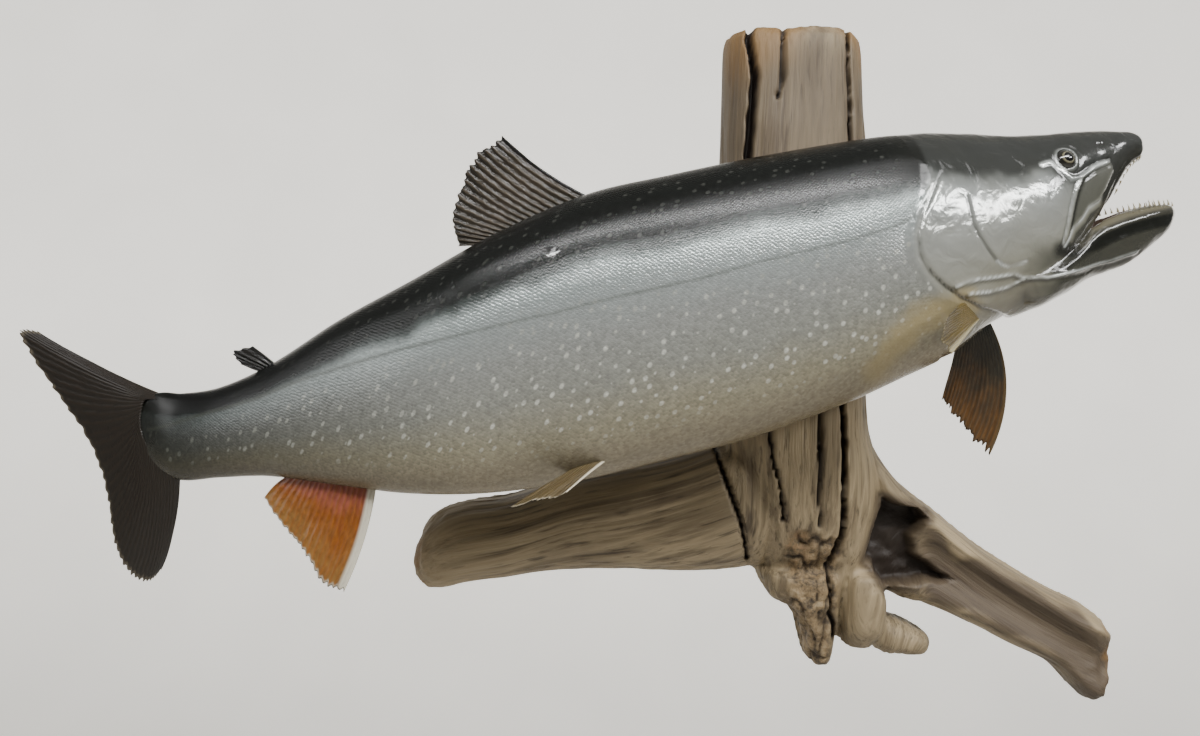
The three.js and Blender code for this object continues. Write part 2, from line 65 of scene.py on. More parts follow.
MM = 0.001
FULL_TURN = 2 * math.pi
OUTWARD = np.array((1.0, -1.0, 1.0))
WELD = 0.002
SLIVER = 0.01
TINY = 1e-3
IMAGE_WIDTH = 1200
SENSOR_WIDTH = 36.0
RGBA_MIX = {"out": 2, "data_type": "RGBA"}


class Side(Enum):
    """The two flanks: the near one faces away from the wall."""

    NEAR = 1
    FAR = -1


# ---------- Curves and fields ----------


def smooth(knots: Array, values: Array, x: Array) -> Array:
    """A cubic through uneven knots, with Catmull-Rom slopes.

    Args:
        knots: rising places.
        values: the value at each knot.
        x: places to read it at.

    Returns:
        The value at each place.
    """
    last = len(knots) - 1
    index = np.arange(last + 1)
    before, after = np.maximum(index - 1, 0), np.minimum(index + 1, last)
    slope = (values[after] - values[before]) / (knots[after] - knots[before])
    i = np.clip(np.searchsorted(knots, x) - 1, 0, last - 1)
    width = knots[i + 1] - knots[i]
    u = (x - knots[i]) / width
    here = (2 * u**3 - 3 * u**2 + 1) * values[i] + (u**3 - 2 * u**2 + u) * width * slope[i]
    there = (3 * u**2 - 2 * u**3) * values[i + 1] + (u**3 - u**2) * width * slope[i + 1]
    return here + there


def fade(low: float | Array, high: float | Array, x: Array) -> Array:
    """Rises smoothly from 0 at low to 1 at high, or falls if high is the smaller."""
    t = np.clip((x - low) / (high - low), 0, 1)
    return t * t * (3 - 2 * t)


def bump(distance: Array, reach: float | Array) -> Array:
    """A bell that is 1 at distance 0 and gone by about twice the reach."""
    return np.exp(-((distance / reach) ** 2))


def ripple(points: Array, size: float, seed: int = 0) -> Array:
    """Smooth value noise from -1 to 1.

    Args:
        points: N by 3 places.
        size: the width of its features, in the points' own unit.
        seed: picks another pattern.

    Returns:
        One value for each place.
    """
    place = points / size
    cell = np.floor(place).astype(np.int64)
    part = place - cell
    part = part * part * (3 - 2 * part)
    total = np.zeros(len(points))
    for corner in itertools.product((0, 1), repeat=3):
        key = cell + corner
        mixed = key[:, 0] * 73856093 ^ key[:, 1] * 19349663 ^ key[:, 2] * 83492791 ^ seed * 2654435761
        mixed = (mixed ^ (mixed >> 13)) * 1274126177
        value = ((mixed ^ (mixed >> 16)) & 0xFFFF) / 32767.5 - 1
        total += value * np.prod(np.where(corner, part, 1 - part), axis=1)
    return total


def line_distance(points: Array, line: Sequence[Sequence[float]]) -> tuple[Array, Array]:
    """How far each point is from a broken line, and on which side of it.

    Args:
        points: N by 2 places.
        line: the line's points in order.

    Returns:
        The distance, and +1 on the left of the line's run or -1 on its right.
    """
    knots = np.array(line, float)
    best = np.full(len(points), np.inf)
    side = np.ones(len(points))
    for start, end in zip(knots[:-1], knots[1:]):
        run = end - start
        offset = points - start
        t = np.clip(offset @ run / (run @ run), 0, 1)
        gap = np.linalg.norm(offset - t[:, None] * run, axis=1)
        turn = run[0] * offset[:, 1] - run[1] * offset[:, 0]
        closer = gap < best
        best = np.where(closer, gap, best)
        side = np.where(closer, np.where(turn >= 0, 1.0, -1.0), side)
    return best, side


def squircle(t: Array, power: float | Array) -> Array:
    """A cosine or sine bent towards a squarer section."""
    return np.sign(t) * np.abs(t) ** (2 / power)


@dataclass(frozen=True)
class Loft:
    """Upright sections along X.

    Each row holds X, the Z of the back and of the belly, half the width, the middle plane's distance
    from the wall, where between belly and back it is widest, and the section's squareness.
    """

    rows: tuple[tuple[float, ...], ...]

    def sizes(self, x: Array) -> tuple[Array, ...]:
        """Back, belly, half width, middle plane, widest and squareness at each X."""
        table = np.array(self.rows)
        return tuple(smooth(table[:, 0], table[:, column], x) for column in range(1, 7))

    def places(self, count: int) -> Array:
        """Even places from its first row to its last."""
        return np.linspace(self.rows[0][0], self.rows[-1][0], count)

    def place(self, x: Array, angle: Array, grow: Array | float = 0.0) -> Array:
        """Points of the surface.

        Args:
            x: the places along the loft.
            angle: 0 at the back, a quarter turn on the near flank.
            grow: how far outside the surface.

        Returns:
            N by 3 points.
        """
        back, belly, half, out, widest, power = self.sizes(x)
        middle = belly + widest * (back - belly)
        rise = np.where(np.cos(angle) >= 0, back - middle, middle - belly)
        y = -out - squircle(np.sin(angle), power) * (half + grow)
        z = middle + squircle(np.cos(angle), power) * (rise + grow)
        return np.stack([x, y, z], axis=1)

    def level(self, points: Array) -> Array:
        """How far out points are.

        Args:
            points: N by 3 places.

        Returns:
            1 on the surface, less inside it and more outside.
        """
        back, belly, half, out, widest, power = self.sizes(points[:, 0])
        middle = belly + widest * (back - belly)
        above = points[:, 2] - middle
        rise = np.maximum(np.where(above >= 0, back - middle, middle - belly), TINY)
        across = np.abs(points[:, 1] + out) / np.maximum(half, TINY)
        return (across**power + (np.abs(above) / rise) ** power) ** (1 / power)

    def normals(self, x: Array, angle: Array) -> Array:
        """Finds which way the surface faces, from short steps on it.

        Args:
            x: the places along the loft.
            angle: 0 at the back, a quarter turn on the near flank.

        Returns:
            N by 3 outward unit normals.
        """
        here = self.place(x, angle)
        along = self.place(x + 0.4, angle) - here
        round_it = self.place(x, angle + 0.01) - here
        normal = np.cross(round_it, along)
        return normal / np.maximum(np.linalg.norm(normal, axis=1, keepdims=True), 1e-9)


def curve(points: Sequence[Point], t: Array) -> Array:
    """A smooth curve through points.

    Args:
        points: the places that it passes.
        t: where to read it, from 0 to 1, with an equal share between each two points.

    Returns:
        A place for each t.
    """
    knots = np.array(points, float)
    steps = np.linalg.norm(np.diff(knots, axis=0), axis=1) ** 0.5
    place = np.concatenate([[0], np.cumsum(steps)])
    at = np.interp(t * (len(knots) - 1), np.arange(len(knots)), place)
    return np.stack([smooth(place, knots[:, k], at) for k in range(3)], axis=1)


# ---------- Meshes ----------


def read_vectors(items: Sequence, name: str) -> Array:
    """Reads a vector from each of a mesh's items.

    Args:
        items: its vertices or its vertices' normals.
        name: what the vector is called.

    Returns:
        N by 3 values.
    """
    flat = np.empty(len(items) * 3)
    items.foreach_get(name, flat)
    return flat.reshape(-1, 3)


def read_points(mesh: Mesh) -> Array:
    """Where a mesh's vertices are, in millimetres."""
    return read_vectors(mesh.vertices, "co") / MM


def write_points(mesh: Mesh, points: Array) -> None:
    """Moves a mesh's vertices to an N by 3 array in millimetres."""
    mesh.vertices.foreach_set("co", (points * MM).ravel())
    mesh.update()


def read_normals(mesh: Mesh) -> Array:
    """Which way a mesh's vertices face, as unit vectors."""
    return read_vectors(mesh.vertex_normals, "vector")


def write_vectors(mesh: Mesh, name: str, values: Array) -> None:
    """Stores a vector on each vertex, which a material reads by name."""
    attribute = mesh.attributes.new(name, "FLOAT_VECTOR", "POINT")
    attribute.data.foreach_set("vector", values.astype(np.float32).ravel())


def new_object(name: str, data: bpy.types.ID) -> Object:
    """Puts a mesh, a light or a camera in the scene.

    Args:
        name: the object's name.
        data: what it shows.

    Returns:
        The object, at the origin.
    """
    made = bpy.data.objects.new(name, data)
    bpy.context.scene.collection.objects.link(made)
    return made


def new_mesh(name: str, build: BMesh) -> Mesh:
    """Turns a finished build, which is then freed, into a mesh.

    Args:
        name: the mesh's name.
        build: the shape.

    Returns:
        The mesh.
    """
    mesh = bpy.data.meshes.new(name)
    build.to_mesh(mesh)
    build.free()
    return mesh


def tube(
    name: str,
    places: Array,
    sides: int,
    place: Callable[[Array, Array], Array],
    marks: Callable[[Array, Array], Array] | None = None,
) -> Object:
    """A closed tube, from a grid that is wrapped round and capped.

    Args:
        name: the object's name.
        places: where its rings are.
        sides: how many points a ring has.
        place: gives the points in millimetres from ring places and shares of a turn.
        marks: gives what the attribute marks stores, from the same two.

    Returns:
        The new object.
    """
    build = bmesh.new()
    bmesh.ops.create_grid(build, x_segments=len(places) - 1, y_segments=sides, size=0.5)
    mesh = bpy.data.meshes.new(name)
    build.to_mesh(mesh)
    grid = read_points(mesh) * MM + 0.5
    ring = places[np.rint(grid[:, 0] * (len(places) - 1)).astype(int)]
    turn = np.rint(grid[:, 1] * sides) / sides % 1.0
    write_points(mesh, place(ring, turn))
    if marks:
        write_vectors(mesh, "marks", marks(ring, turn))
    build.clear()
    build.from_mesh(mesh)
    bmesh.ops.remove_doubles(build, verts=build.verts, dist=WELD * MM)
    open_edges = [edge for edge in build.edges if edge.is_boundary]
    bmesh.ops.holes_fill(build, edges=open_edges, sides=0)
    bmesh.ops.recalc_face_normals(build, faces=build.faces)
    build.to_mesh(mesh)
    build.free()
    mesh.shade_smooth()
    return new_object(name, mesh)


def combine(target: Object, tools: Sequence[Object], operation: str) -> None:
    """Joins or cuts a piece with other closed pieces, which are then deleted.

    Args:
        target: the piece that keeps the result.
        tools: the pieces that join or cut it.
        operation: UNION or DIFFERENCE.
    """
    for tool in tools:
        modifier = target.modifiers.new("combine", "BOOLEAN")
        modifier.operation = operation
        modifier.solver = "EXACT"
        modifier.object = tool
    settle(target)
    for tool in tools:
        bpy.data.objects.remove(tool)


def gather(name: str, pieces: Sequence[Object]) -> Object:
    """Puts the meshes of several pieces, which are then deleted, into one.

    Args:
        name: the new piece's name.
        pieces: the pieces.

    Returns:
        The new piece.
    """
    build = bmesh.new()
    for piece in pieces:
        build.from_mesh(piece.data)
        bpy.data.objects.remove(piece)
    return new_object(name, new_mesh(name, build))


def settle(piece: Object) -> None:
    """Applies a piece's modifiers to its mesh.

    Args:
        piece: the piece, which keeps its name and loses its modifiers.
    """
    evaluated = piece.evaluated_get(bpy.context.evaluated_depsgraph_get())
    mesh = bpy.data.meshes.new_from_object(evaluated)
    piece.modifiers.clear()
    mesh.name = piece.name
    piece.data = mesh


def relax(mesh: Mesh, chosen: Array, rounds: int, strength: float = 0.5) -> None:
    """Smooths the chosen vertices.

    Args:
        mesh: the mesh they are in.
        chosen: True for each vertex that moves.
        rounds: how many times.
        strength: how far each goes towards its neighbours' middle.
    """
    build = bmesh.new()
    build.from_mesh(mesh)
    build.verts.ensure_lookup_table()
    verts = [build.verts[i] for i in np.flatnonzero(chosen)]
    for _ in range(rounds):
        bmesh.ops.smooth_vert(
            build, verts=verts, factor=strength, use_axis_x=True, use_axis_y=True, use_axis_z=True
        )
    build.to_mesh(mesh)
    build.free()


def triangulate(mesh: Mesh) -> None:
    """Cuts faces of many sides into triangles and merges points that coincide.

    Args:
        mesh: the mesh, as a Boolean left it.
    """
    build = bmesh.new()
    build.from_mesh(mesh)
    bmesh.ops.remove_doubles(build, verts=build.verts, dist=SLIVER * MM)
    bmesh.ops.dissolve_degenerate(build, edges=build.edges, dist=SLIVER * MM)
    bmesh.ops.triangulate(build, faces=[face for face in build.faces if len(face.verts) > 4])
    build.to_mesh(mesh)
    build.free()


def dress(piece: Object, material: Material, slot: str, *replaced: str) -> None:
    """Gives a finished piece its material and its place in the frame, and reports it.

    Args:
        piece: the piece.
        material: what it is made of.
        slot: not used.
        replaced: the CAD nodes that it stands for.
    """
    piece.data.materials.clear()
    piece.data.materials.append(material)
    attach(piece, "root")
    if replaced:
        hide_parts(*replaced)
    log.info("%s: %d faces", piece.name, len(piece.data.polygons))


# ---------- Finishes ----------


def linear(hex_colour: str) -> tuple[float, float, float, float]:
    """Turns an sRGB hex value into linear light.

    Args:
        hex_colour: a hash and six digits.

    Returns:
        Red, green, blue and alpha.
    """
    parts = [int(hex_colour[i : i + 2], 16) / 255 for i in (1, 3, 5)]
    light = [p / 12.92 if p <= 0.04045 else ((p + 0.055) / 1.055) ** 2.4 for p in parts]
    return (*light, 1.0)


def add(
    tree: NodeTree,
    kind: str,
    inputs: dict | None = None,
    out: int | str = 0,
    stops: Tones = (),
    **settings: object,
) -> NodeSocket | None:
    """Adds a node with its settings and links.

    Args:
        tree: the material's node tree.
        kind: the node's type, without ShaderNode.
        inputs: a value, a hex colour or a linked socket for each named or numbered input.
        out: the output that is wanted.
        stops: places and hex colours of a colour ramp.
        settings: properties of the node itself.

    Returns:
        The wanted output socket, or None where the node has none.
    """
    made = tree.nodes.new("ShaderNode" + kind)
    for name, value in settings.items():
        setattr(made, name, value)
    for key, value in (inputs or {}).items():
        if isinstance(value, NodeSocket):
            tree.links.new(value, made.inputs[key])
        else:
            made.inputs[key].default_value = linear(value) if isinstance(value, str) else value
    if stops:
        elements = made.color_ramp.elements
        while len(elements) < len(stops):
            elements.new(0.5)
        for element, (place, colour) in zip(elements, stops):
            element.position = place
            element.color = linear(colour)
    return made.outputs[out] if made.outputs else None


def new_tree(name: str) -> tuple[Material, NodeTree]:
    """Makes a material.

    Args:
        name: its name.

    Returns:
        The material and its empty node tree.
    """
    material = bpy.data.materials.new(name)
    material.use_nodes = True
    material.node_tree.nodes.clear()
    return material, material.node_tree


def metres(size_mm: float) -> float:
    """The Scale of a texture on object coordinates whose features are that size."""
    return 1 / (size_mm * MM)


@dataclass(frozen=True)
class VarnishedSkin:
    """Trout skin, dried on its form and brushed with clear gloss varnish: wet-looking over dull paint."""

    name: str
    gloss: float
    gloss_roughness: float
    grain_mm: float
    grain_depth: float
    pool_mm: float | None = None
    pool_depth: float = 1.1
    cloud_mm: float = 24.0
    mottle_mm: float = 3.0
    flank_tones: Tones = (
        (0.0, "#7b7059"), (0.08, "#7d7460"), (0.2, "#777260"), (0.36, "#71716a"), (0.5, "#767773"),
        (0.64, "#828785"), (0.72, "#7d8482"), (0.765, "#343937"), (0.8, "#121412"), (1.0, "#090a08"),
    )
    head_tones: Tones = (
        (0.0, "#5d5747"), (0.16, "#6c685a"), (0.34, "#7b7a6f"), (0.5, "#868781"), (0.68, "#959895"),
        (1.0, "#6c6f6b"),
    )
    head_dull: str = "#7c7b70"
    spot: str = "#bfc0b5"
    spot_pitch_mm: tuple[float, float] = (7.9, 7.1)
    tail_shade: str = "#3c403c"
    tail_span: tuple[float, float] = (-405.0, -215.0)
    lateral_line: str = "#33352f"
    lining: str = "#3a2d24"
    # painted shade in the skin's creases and grooves and under the scales' roots
    crease_shade: str = "#15130f"
    # the crown's dark, also used for painted shade at the lip, gape, throat fold and maxilla groove
    dark: str = "#11120f"
    bone: str = "#3d3d36"
    tan: str = "#8b7d58"
    # painted highlight along the head's ridges: gill rays, brow, jaw bone and cheek
    ridge: str = "#d2d6d2"

    def material(self) -> Material:
        """Builds the material.

        Returns:
            The material.
        """
        material, tree = new_tree(self.name)
        place = add(tree, "TexCoord", out="Object")
        flank, region, tone, paint = (
            add(tree, "Attribute", out="Vector", attribute_name=name)
            for name in ("flank", "region", "tone", "paint")
        )
        along, height = (add(tree, "SeparateXYZ", {0: flank}, out=axis) for axis in ("X", "Z"))
        # region holds the bare head, the painted highlight on its ridges and the mouth's lining
        head, ridge, inside = (add(tree, "SeparateXYZ", {0: region}, out=axis) for axis in "XYZ")
        # tone holds a random share, painted shade in creases and under scale roots, and the lateral line
        random, shade, line = (add(tree, "SeparateXYZ", {0: tone}, out=axis) for axis in "XYZ")
        # paint's first share is the crown's dark and painted shade at the lip, gape, throat fold and maxilla
        # groove
        dark, bone, tan = (add(tree, "SeparateXYZ", {0: paint}, out=axis) for axis in "XYZ")

        cloud = add(tree, "TexNoise", {"Vector": place, "Scale": metres(self.cloud_mm), "Detail": 5.0})
        fine = add(tree, "TexNoise", {"Vector": place, "Scale": metres(self.mottle_mm), "Detail": 4.0})
        shift = add(tree, "MapRange", {0: cloud, 3: -0.04, 4: 0.04})
        level = add(tree, "Math", {0: height, 1: shift}, operation="ADD")
        colour = add(tree, "ValToRGB", {0: level}, stops=self.flank_tones)
        spots = self.spots(tree, flank, level)
        colour = add(tree, "Mix", {0: spots, 6: colour, 7: self.spot}, **RGBA_MIX)
        start, end = self.tail_span
        tail = add(tree, "MapRange", {0: along, 1: start, 2: end, 3: 0.88, 4: 0.0})
        colour = add(tree, "Mix", {0: tail, 6: colour, 7: self.tail_shade}, blend_type="MULTIPLY", **RGBA_MIX)
        mottle = add(tree, "MapRange", {0: fine, 1: 0.25, 2: 0.75, 3: 0.86, 4: 1.14})
        speckle = add(tree, "MapRange", {0: random, 3: 0.84, 4: 1.16})
        speckle = add(tree, "Math", {0: mottle, 1: speckle}, operation="MULTIPLY")
        colour = add(tree, "VectorMath", {0: colour, "Scale": speckle}, operation="SCALE")

        head_colour = add(tree, "ValToRGB", {0: level}, stops=self.head_tones)
        dull = add(tree, "MapRange", {0: cloud, 1: 0.42, 2: 0.7, 4: 0.35})
        head_colour = add(tree, "Mix", {0: dull, 6: head_colour, 7: self.head_dull}, **RGBA_MIX)
        for share, coat in (
            (head, head_colour), (tan, self.tan), (bone, self.bone), (dark, self.dark), (inside, self.lining),
            (line, self.lateral_line), (shade, self.crease_shade), (ridge, self.ridge),
        ):
            colour = add(tree, "Mix", {0: share, 6: colour, 7: coat}, **RGBA_MIX)

        pale = add(tree, "MapRange", {0: colour, 1: 0.08, 2: 0.3, 4: 0.5})
        high = add(tree, "MapRange", {0: level, 1: 0.2, 2: 0.65, 3: 0.15})
        metal = add(tree, "Math", {0: pale, 1: high}, operation="MULTIPLY")
        rough = add(tree, "MapRange", {0: fine, 1: 0.3, 2: 0.7, 3: 0.13, 4: 0.23})
        shader = add(
            tree, "BsdfPrincipled",
            {
                "Base Color": colour, "Metallic": metal, "Roughness": rough,
                "Normal": self.relief(tree, place), "IOR": 1.33, "Coat IOR": 1.45,
                "Coat Weight": self.gloss, "Coat Roughness": self.gloss_roughness,
            },
        )
        add(tree, "OutputMaterial", {"Surface": shader})
        return material

    def relief(self, tree: NodeTree, place: NodeSocket) -> NodeSocket:
        """The skin's grain, and where there is one, the varnish that pooled over it.

        Args:
            tree: the material's node tree.
            place: object coordinates.

        Returns:
            The bent normal.
        """
        grain = add(tree, "TexNoise", {"Vector": place, "Scale": metres(self.grain_mm), "Detail": 3.0})
        bent = add(tree, "Bump", {"Height": grain, "Strength": 0.35, "Distance": self.grain_depth * MM})
        if self.pool_mm is None:
            return bent
        pool = {"Vector": place, "Scale": metres(self.pool_mm), "Distortion": 0.8}
        height = add(tree, "TexNoise", pool)
        return add(tree, "Bump", {"Height": height, "Distance": self.pool_depth * MM, "Normal": bent})

    def spots(self, tree: NodeTree, flank: NodeSocket, level: NodeSocket) -> NodeSocket:
        """Cream spots of uneven size, on the flank below the back.

        Args:
            tree: the material's node tree.
            flank: X along, Y round the body, in millimetres, and height.
            level: the height, a little uneven.

        Returns:
            The spots' share.
        """
        pitch = (1 / self.spot_pitch_mm[0], 1 / self.spot_pitch_mm[1], 0.0)
        scaled = add(tree, "VectorMath", {0: flank, 1: pitch}, operation="MULTIPLY")
        cell = {"Vector": scaled, "Scale": 1.0}
        distance = add(tree, "TexVoronoi", cell, out="Distance", voronoi_dimensions="2D")
        chance = add(tree, "TexVoronoi", cell, out="Color", voronoi_dimensions="2D")
        chance = add(tree, "SeparateXYZ", {0: chance}, out="X")
        radius = add(tree, "MapRange", {0: chance, 1: 0.1, 2: 0.6, 4: 0.17})
        inside = add(tree, "Math", {0: radius, 1: distance}, operation="SUBTRACT")
        spot, low, high = (
            add(tree, "MapRange", ends, interpolation_type="SMOOTHSTEP")
            for ends in (
                {0: inside, 1: -0.07, 2: 0.07},
                {0: level, 1: 0.1, 2: 0.3, 4: 0.6},
                {0: level, 1: 0.48, 2: 0.7, 3: 1.0, 4: 0.05},
            )
        )
        zone = add(tree, "Math", {0: low, 1: high}, operation="MULTIPLY")
        return add(tree, "Math", {0: spot, 1: zone}, operation="MULTIPLY")


@dataclass(frozen=True)
class FinMembrane:
    """Fin rays and the skin between them, dried thin and varnished: satin, ribbed, puckered between rays."""

    name: str
    root: str
    middle: str
    margin: str
    ray: str
    edge: str
    edge_width: float = 0.06
    edge_rear: float = 0.0
    pucker_mm: float = 0.25
    roughness: float = 0.4

    def material(self) -> Material:
        """Builds the material.

        Returns:
            The material.
        """
        material, tree = new_tree(self.name)
        place = add(tree, "TexCoord", out="Object")
        marks = add(tree, "Attribute", out="Vector", attribute_name="marks")
        ray, reach, turn = (add(tree, "SeparateXYZ", {0: marks}, out=axis) for axis in "XYZ")
        cloud = add(tree, "TexNoise", {"Vector": place, "Scale": metres(11), "Detail": 5.0})
        shift = add(tree, "MapRange", {0: cloud, 1: 0.25, 2: 0.75, 3: -0.2, 4: 0.2})
        level = add(tree, "Math", {0: reach, 1: shift}, operation="ADD")
        tones = ((0.05, self.root), (0.45, self.middle), (0.95, self.margin))
        colour = add(tree, "ValToRGB", {0: level}, stops=tones)
        along_rays = add(tree, "VectorMath", {0: marks, 1: (1.0, 7.0, 0.0)}, operation="MULTIPLY")
        pucker = add(tree, "TexNoise", {"Vector": along_rays, "Scale": 1.6, "Detail": 4.0, "Distortion": 0.4})
        wander = add(tree, "MapRange", {0: pucker, 3: -0.35, 4: 0.35})
        strand = add(tree, "Math", {0: ray, 1: wander}, operation="ADD")
        strand = add(tree, "Math", {0: strand, 1: FULL_TURN}, operation="MULTIPLY")
        strand = add(tree, "Math", {0: strand}, operation="COSINE")
        rib = add(tree, "MapRange", {0: strand, 1: 0.1, 4: 0.5})
        colour = add(tree, "Mix", {0: rib, 6: colour, 7: self.ray}, **RGBA_MIX)
        stain = add(tree, "MapRange", {0: pucker, 1: 0.3, 2: 0.7, 3: 0.78, 4: 1.22})
        colour = add(tree, "VectorMath", {0: colour, "Scale": stain}, operation="SCALE")
        sharp = 0.6 * self.edge_width
        front = add(tree, "MapRange", {0: turn, 1: sharp, 2: self.edge_width, 3: 1.0, 4: 0.0})
        worn = add(tree, "MapRange", {0: reach, 1: 0.955, 2: 0.99, 4: self.edge_rear})
        rim = add(tree, "Math", {0: front, 1: worn}, operation="MAXIMUM")
        colour = add(tree, "Mix", {0: rim, 6: colour, 7: self.edge}, **RGBA_MIX)
        height = add(tree, "Math", {0: strand, 1: 0.35, 2: pucker}, operation="MULTIPLY_ADD")
        relief = add(tree, "Bump", {"Height": height, "Distance": self.pucker_mm * MM})
        shader = add(
            tree, "BsdfPrincipled",
            {
                "Base Color": colour, "Roughness": self.roughness, "Normal": relief, "IOR": 1.38,
                "Coat Weight": 0.16, "Coat Roughness": 0.12,
            },
        )
        add(tree, "OutputMaterial", {"Surface": shader})
        return material


@dataclass(frozen=True)
class GlassEye:
    """A taxidermist's cast glass eye, painted behind: a black pupil in a dull gold ring and a dark iris."""

    rings: Tones = (
        (0.0, "#020202"), (0.46, "#040404"), (0.51, "#6a6557"), (0.6, "#56523f"), (0.68, "#14120e"),
        (0.86, "#1c1a16"), (0.95, "#0c0b0a"),
    )

    def material(self) -> Material:
        """Builds the material.

        Returns:
            The material.
        """
        material, tree = new_tree("cast_glass_eye")
        place = add(tree, "TexCoord", out="Object")
        gaze = add(tree, "Attribute", out="Vector", attribute_name="gaze")
        radius = add(tree, "SeparateXYZ", {0: gaze}, out="X")
        fleck = add(tree, "TexNoise", {"Vector": place, "Scale": metres(0.9), "Detail": 3.0})
        shift = add(tree, "MapRange", {0: fleck, 3: -0.03, 4: 0.03})
        level = add(tree, "Math", {0: radius, 1: shift}, operation="ADD")
        colour = add(tree, "ValToRGB", {0: level}, stops=self.rings)
        shader = add(
            tree, "BsdfPrincipled",
            {
                "Base Color": colour, "Roughness": 0.12, "IOR": 1.52,
                "Coat Weight": 1.0, "Coat Roughness": 0.02,
            },
        )
        add(tree, "OutputMaterial", {"Surface": shader})
        return material


@dataclass(frozen=True)
class PlainGloss:
    """Varnished flesh or bone: one tone with darker blotches, glossy where the varnish pooled."""

    name: str
    base: str
    blotch: str
    size_mm: float
    roughness: float

    def material(self) -> Material:
        """Builds the material.

        Returns:
            The material.
        """
        material, tree = new_tree(self.name)
        place = add(tree, "TexCoord", out="Object")
        cloud = add(tree, "TexNoise", {"Vector": place, "Scale": metres(self.size_mm), "Detail": 4.0})
        share = add(tree, "MapRange", {0: cloud, 1: 0.4, 2: 0.65})
        colour = add(tree, "Mix", {0: share, 6: self.base, 7: self.blotch}, **RGBA_MIX)
        relief = add(tree, "Bump", {"Height": cloud, "Strength": 0.4, "Distance": 0.3 * MM})
        shader = add(
            tree, "BsdfPrincipled",
            {
                "Base Color": colour, "Roughness": self.roughness, "Normal": relief,
                "Coat Weight": 0.5, "Coat Roughness": 0.1,
            },
        )
        add(tree, "OutputMaterial", {"Surface": shader})
        return material


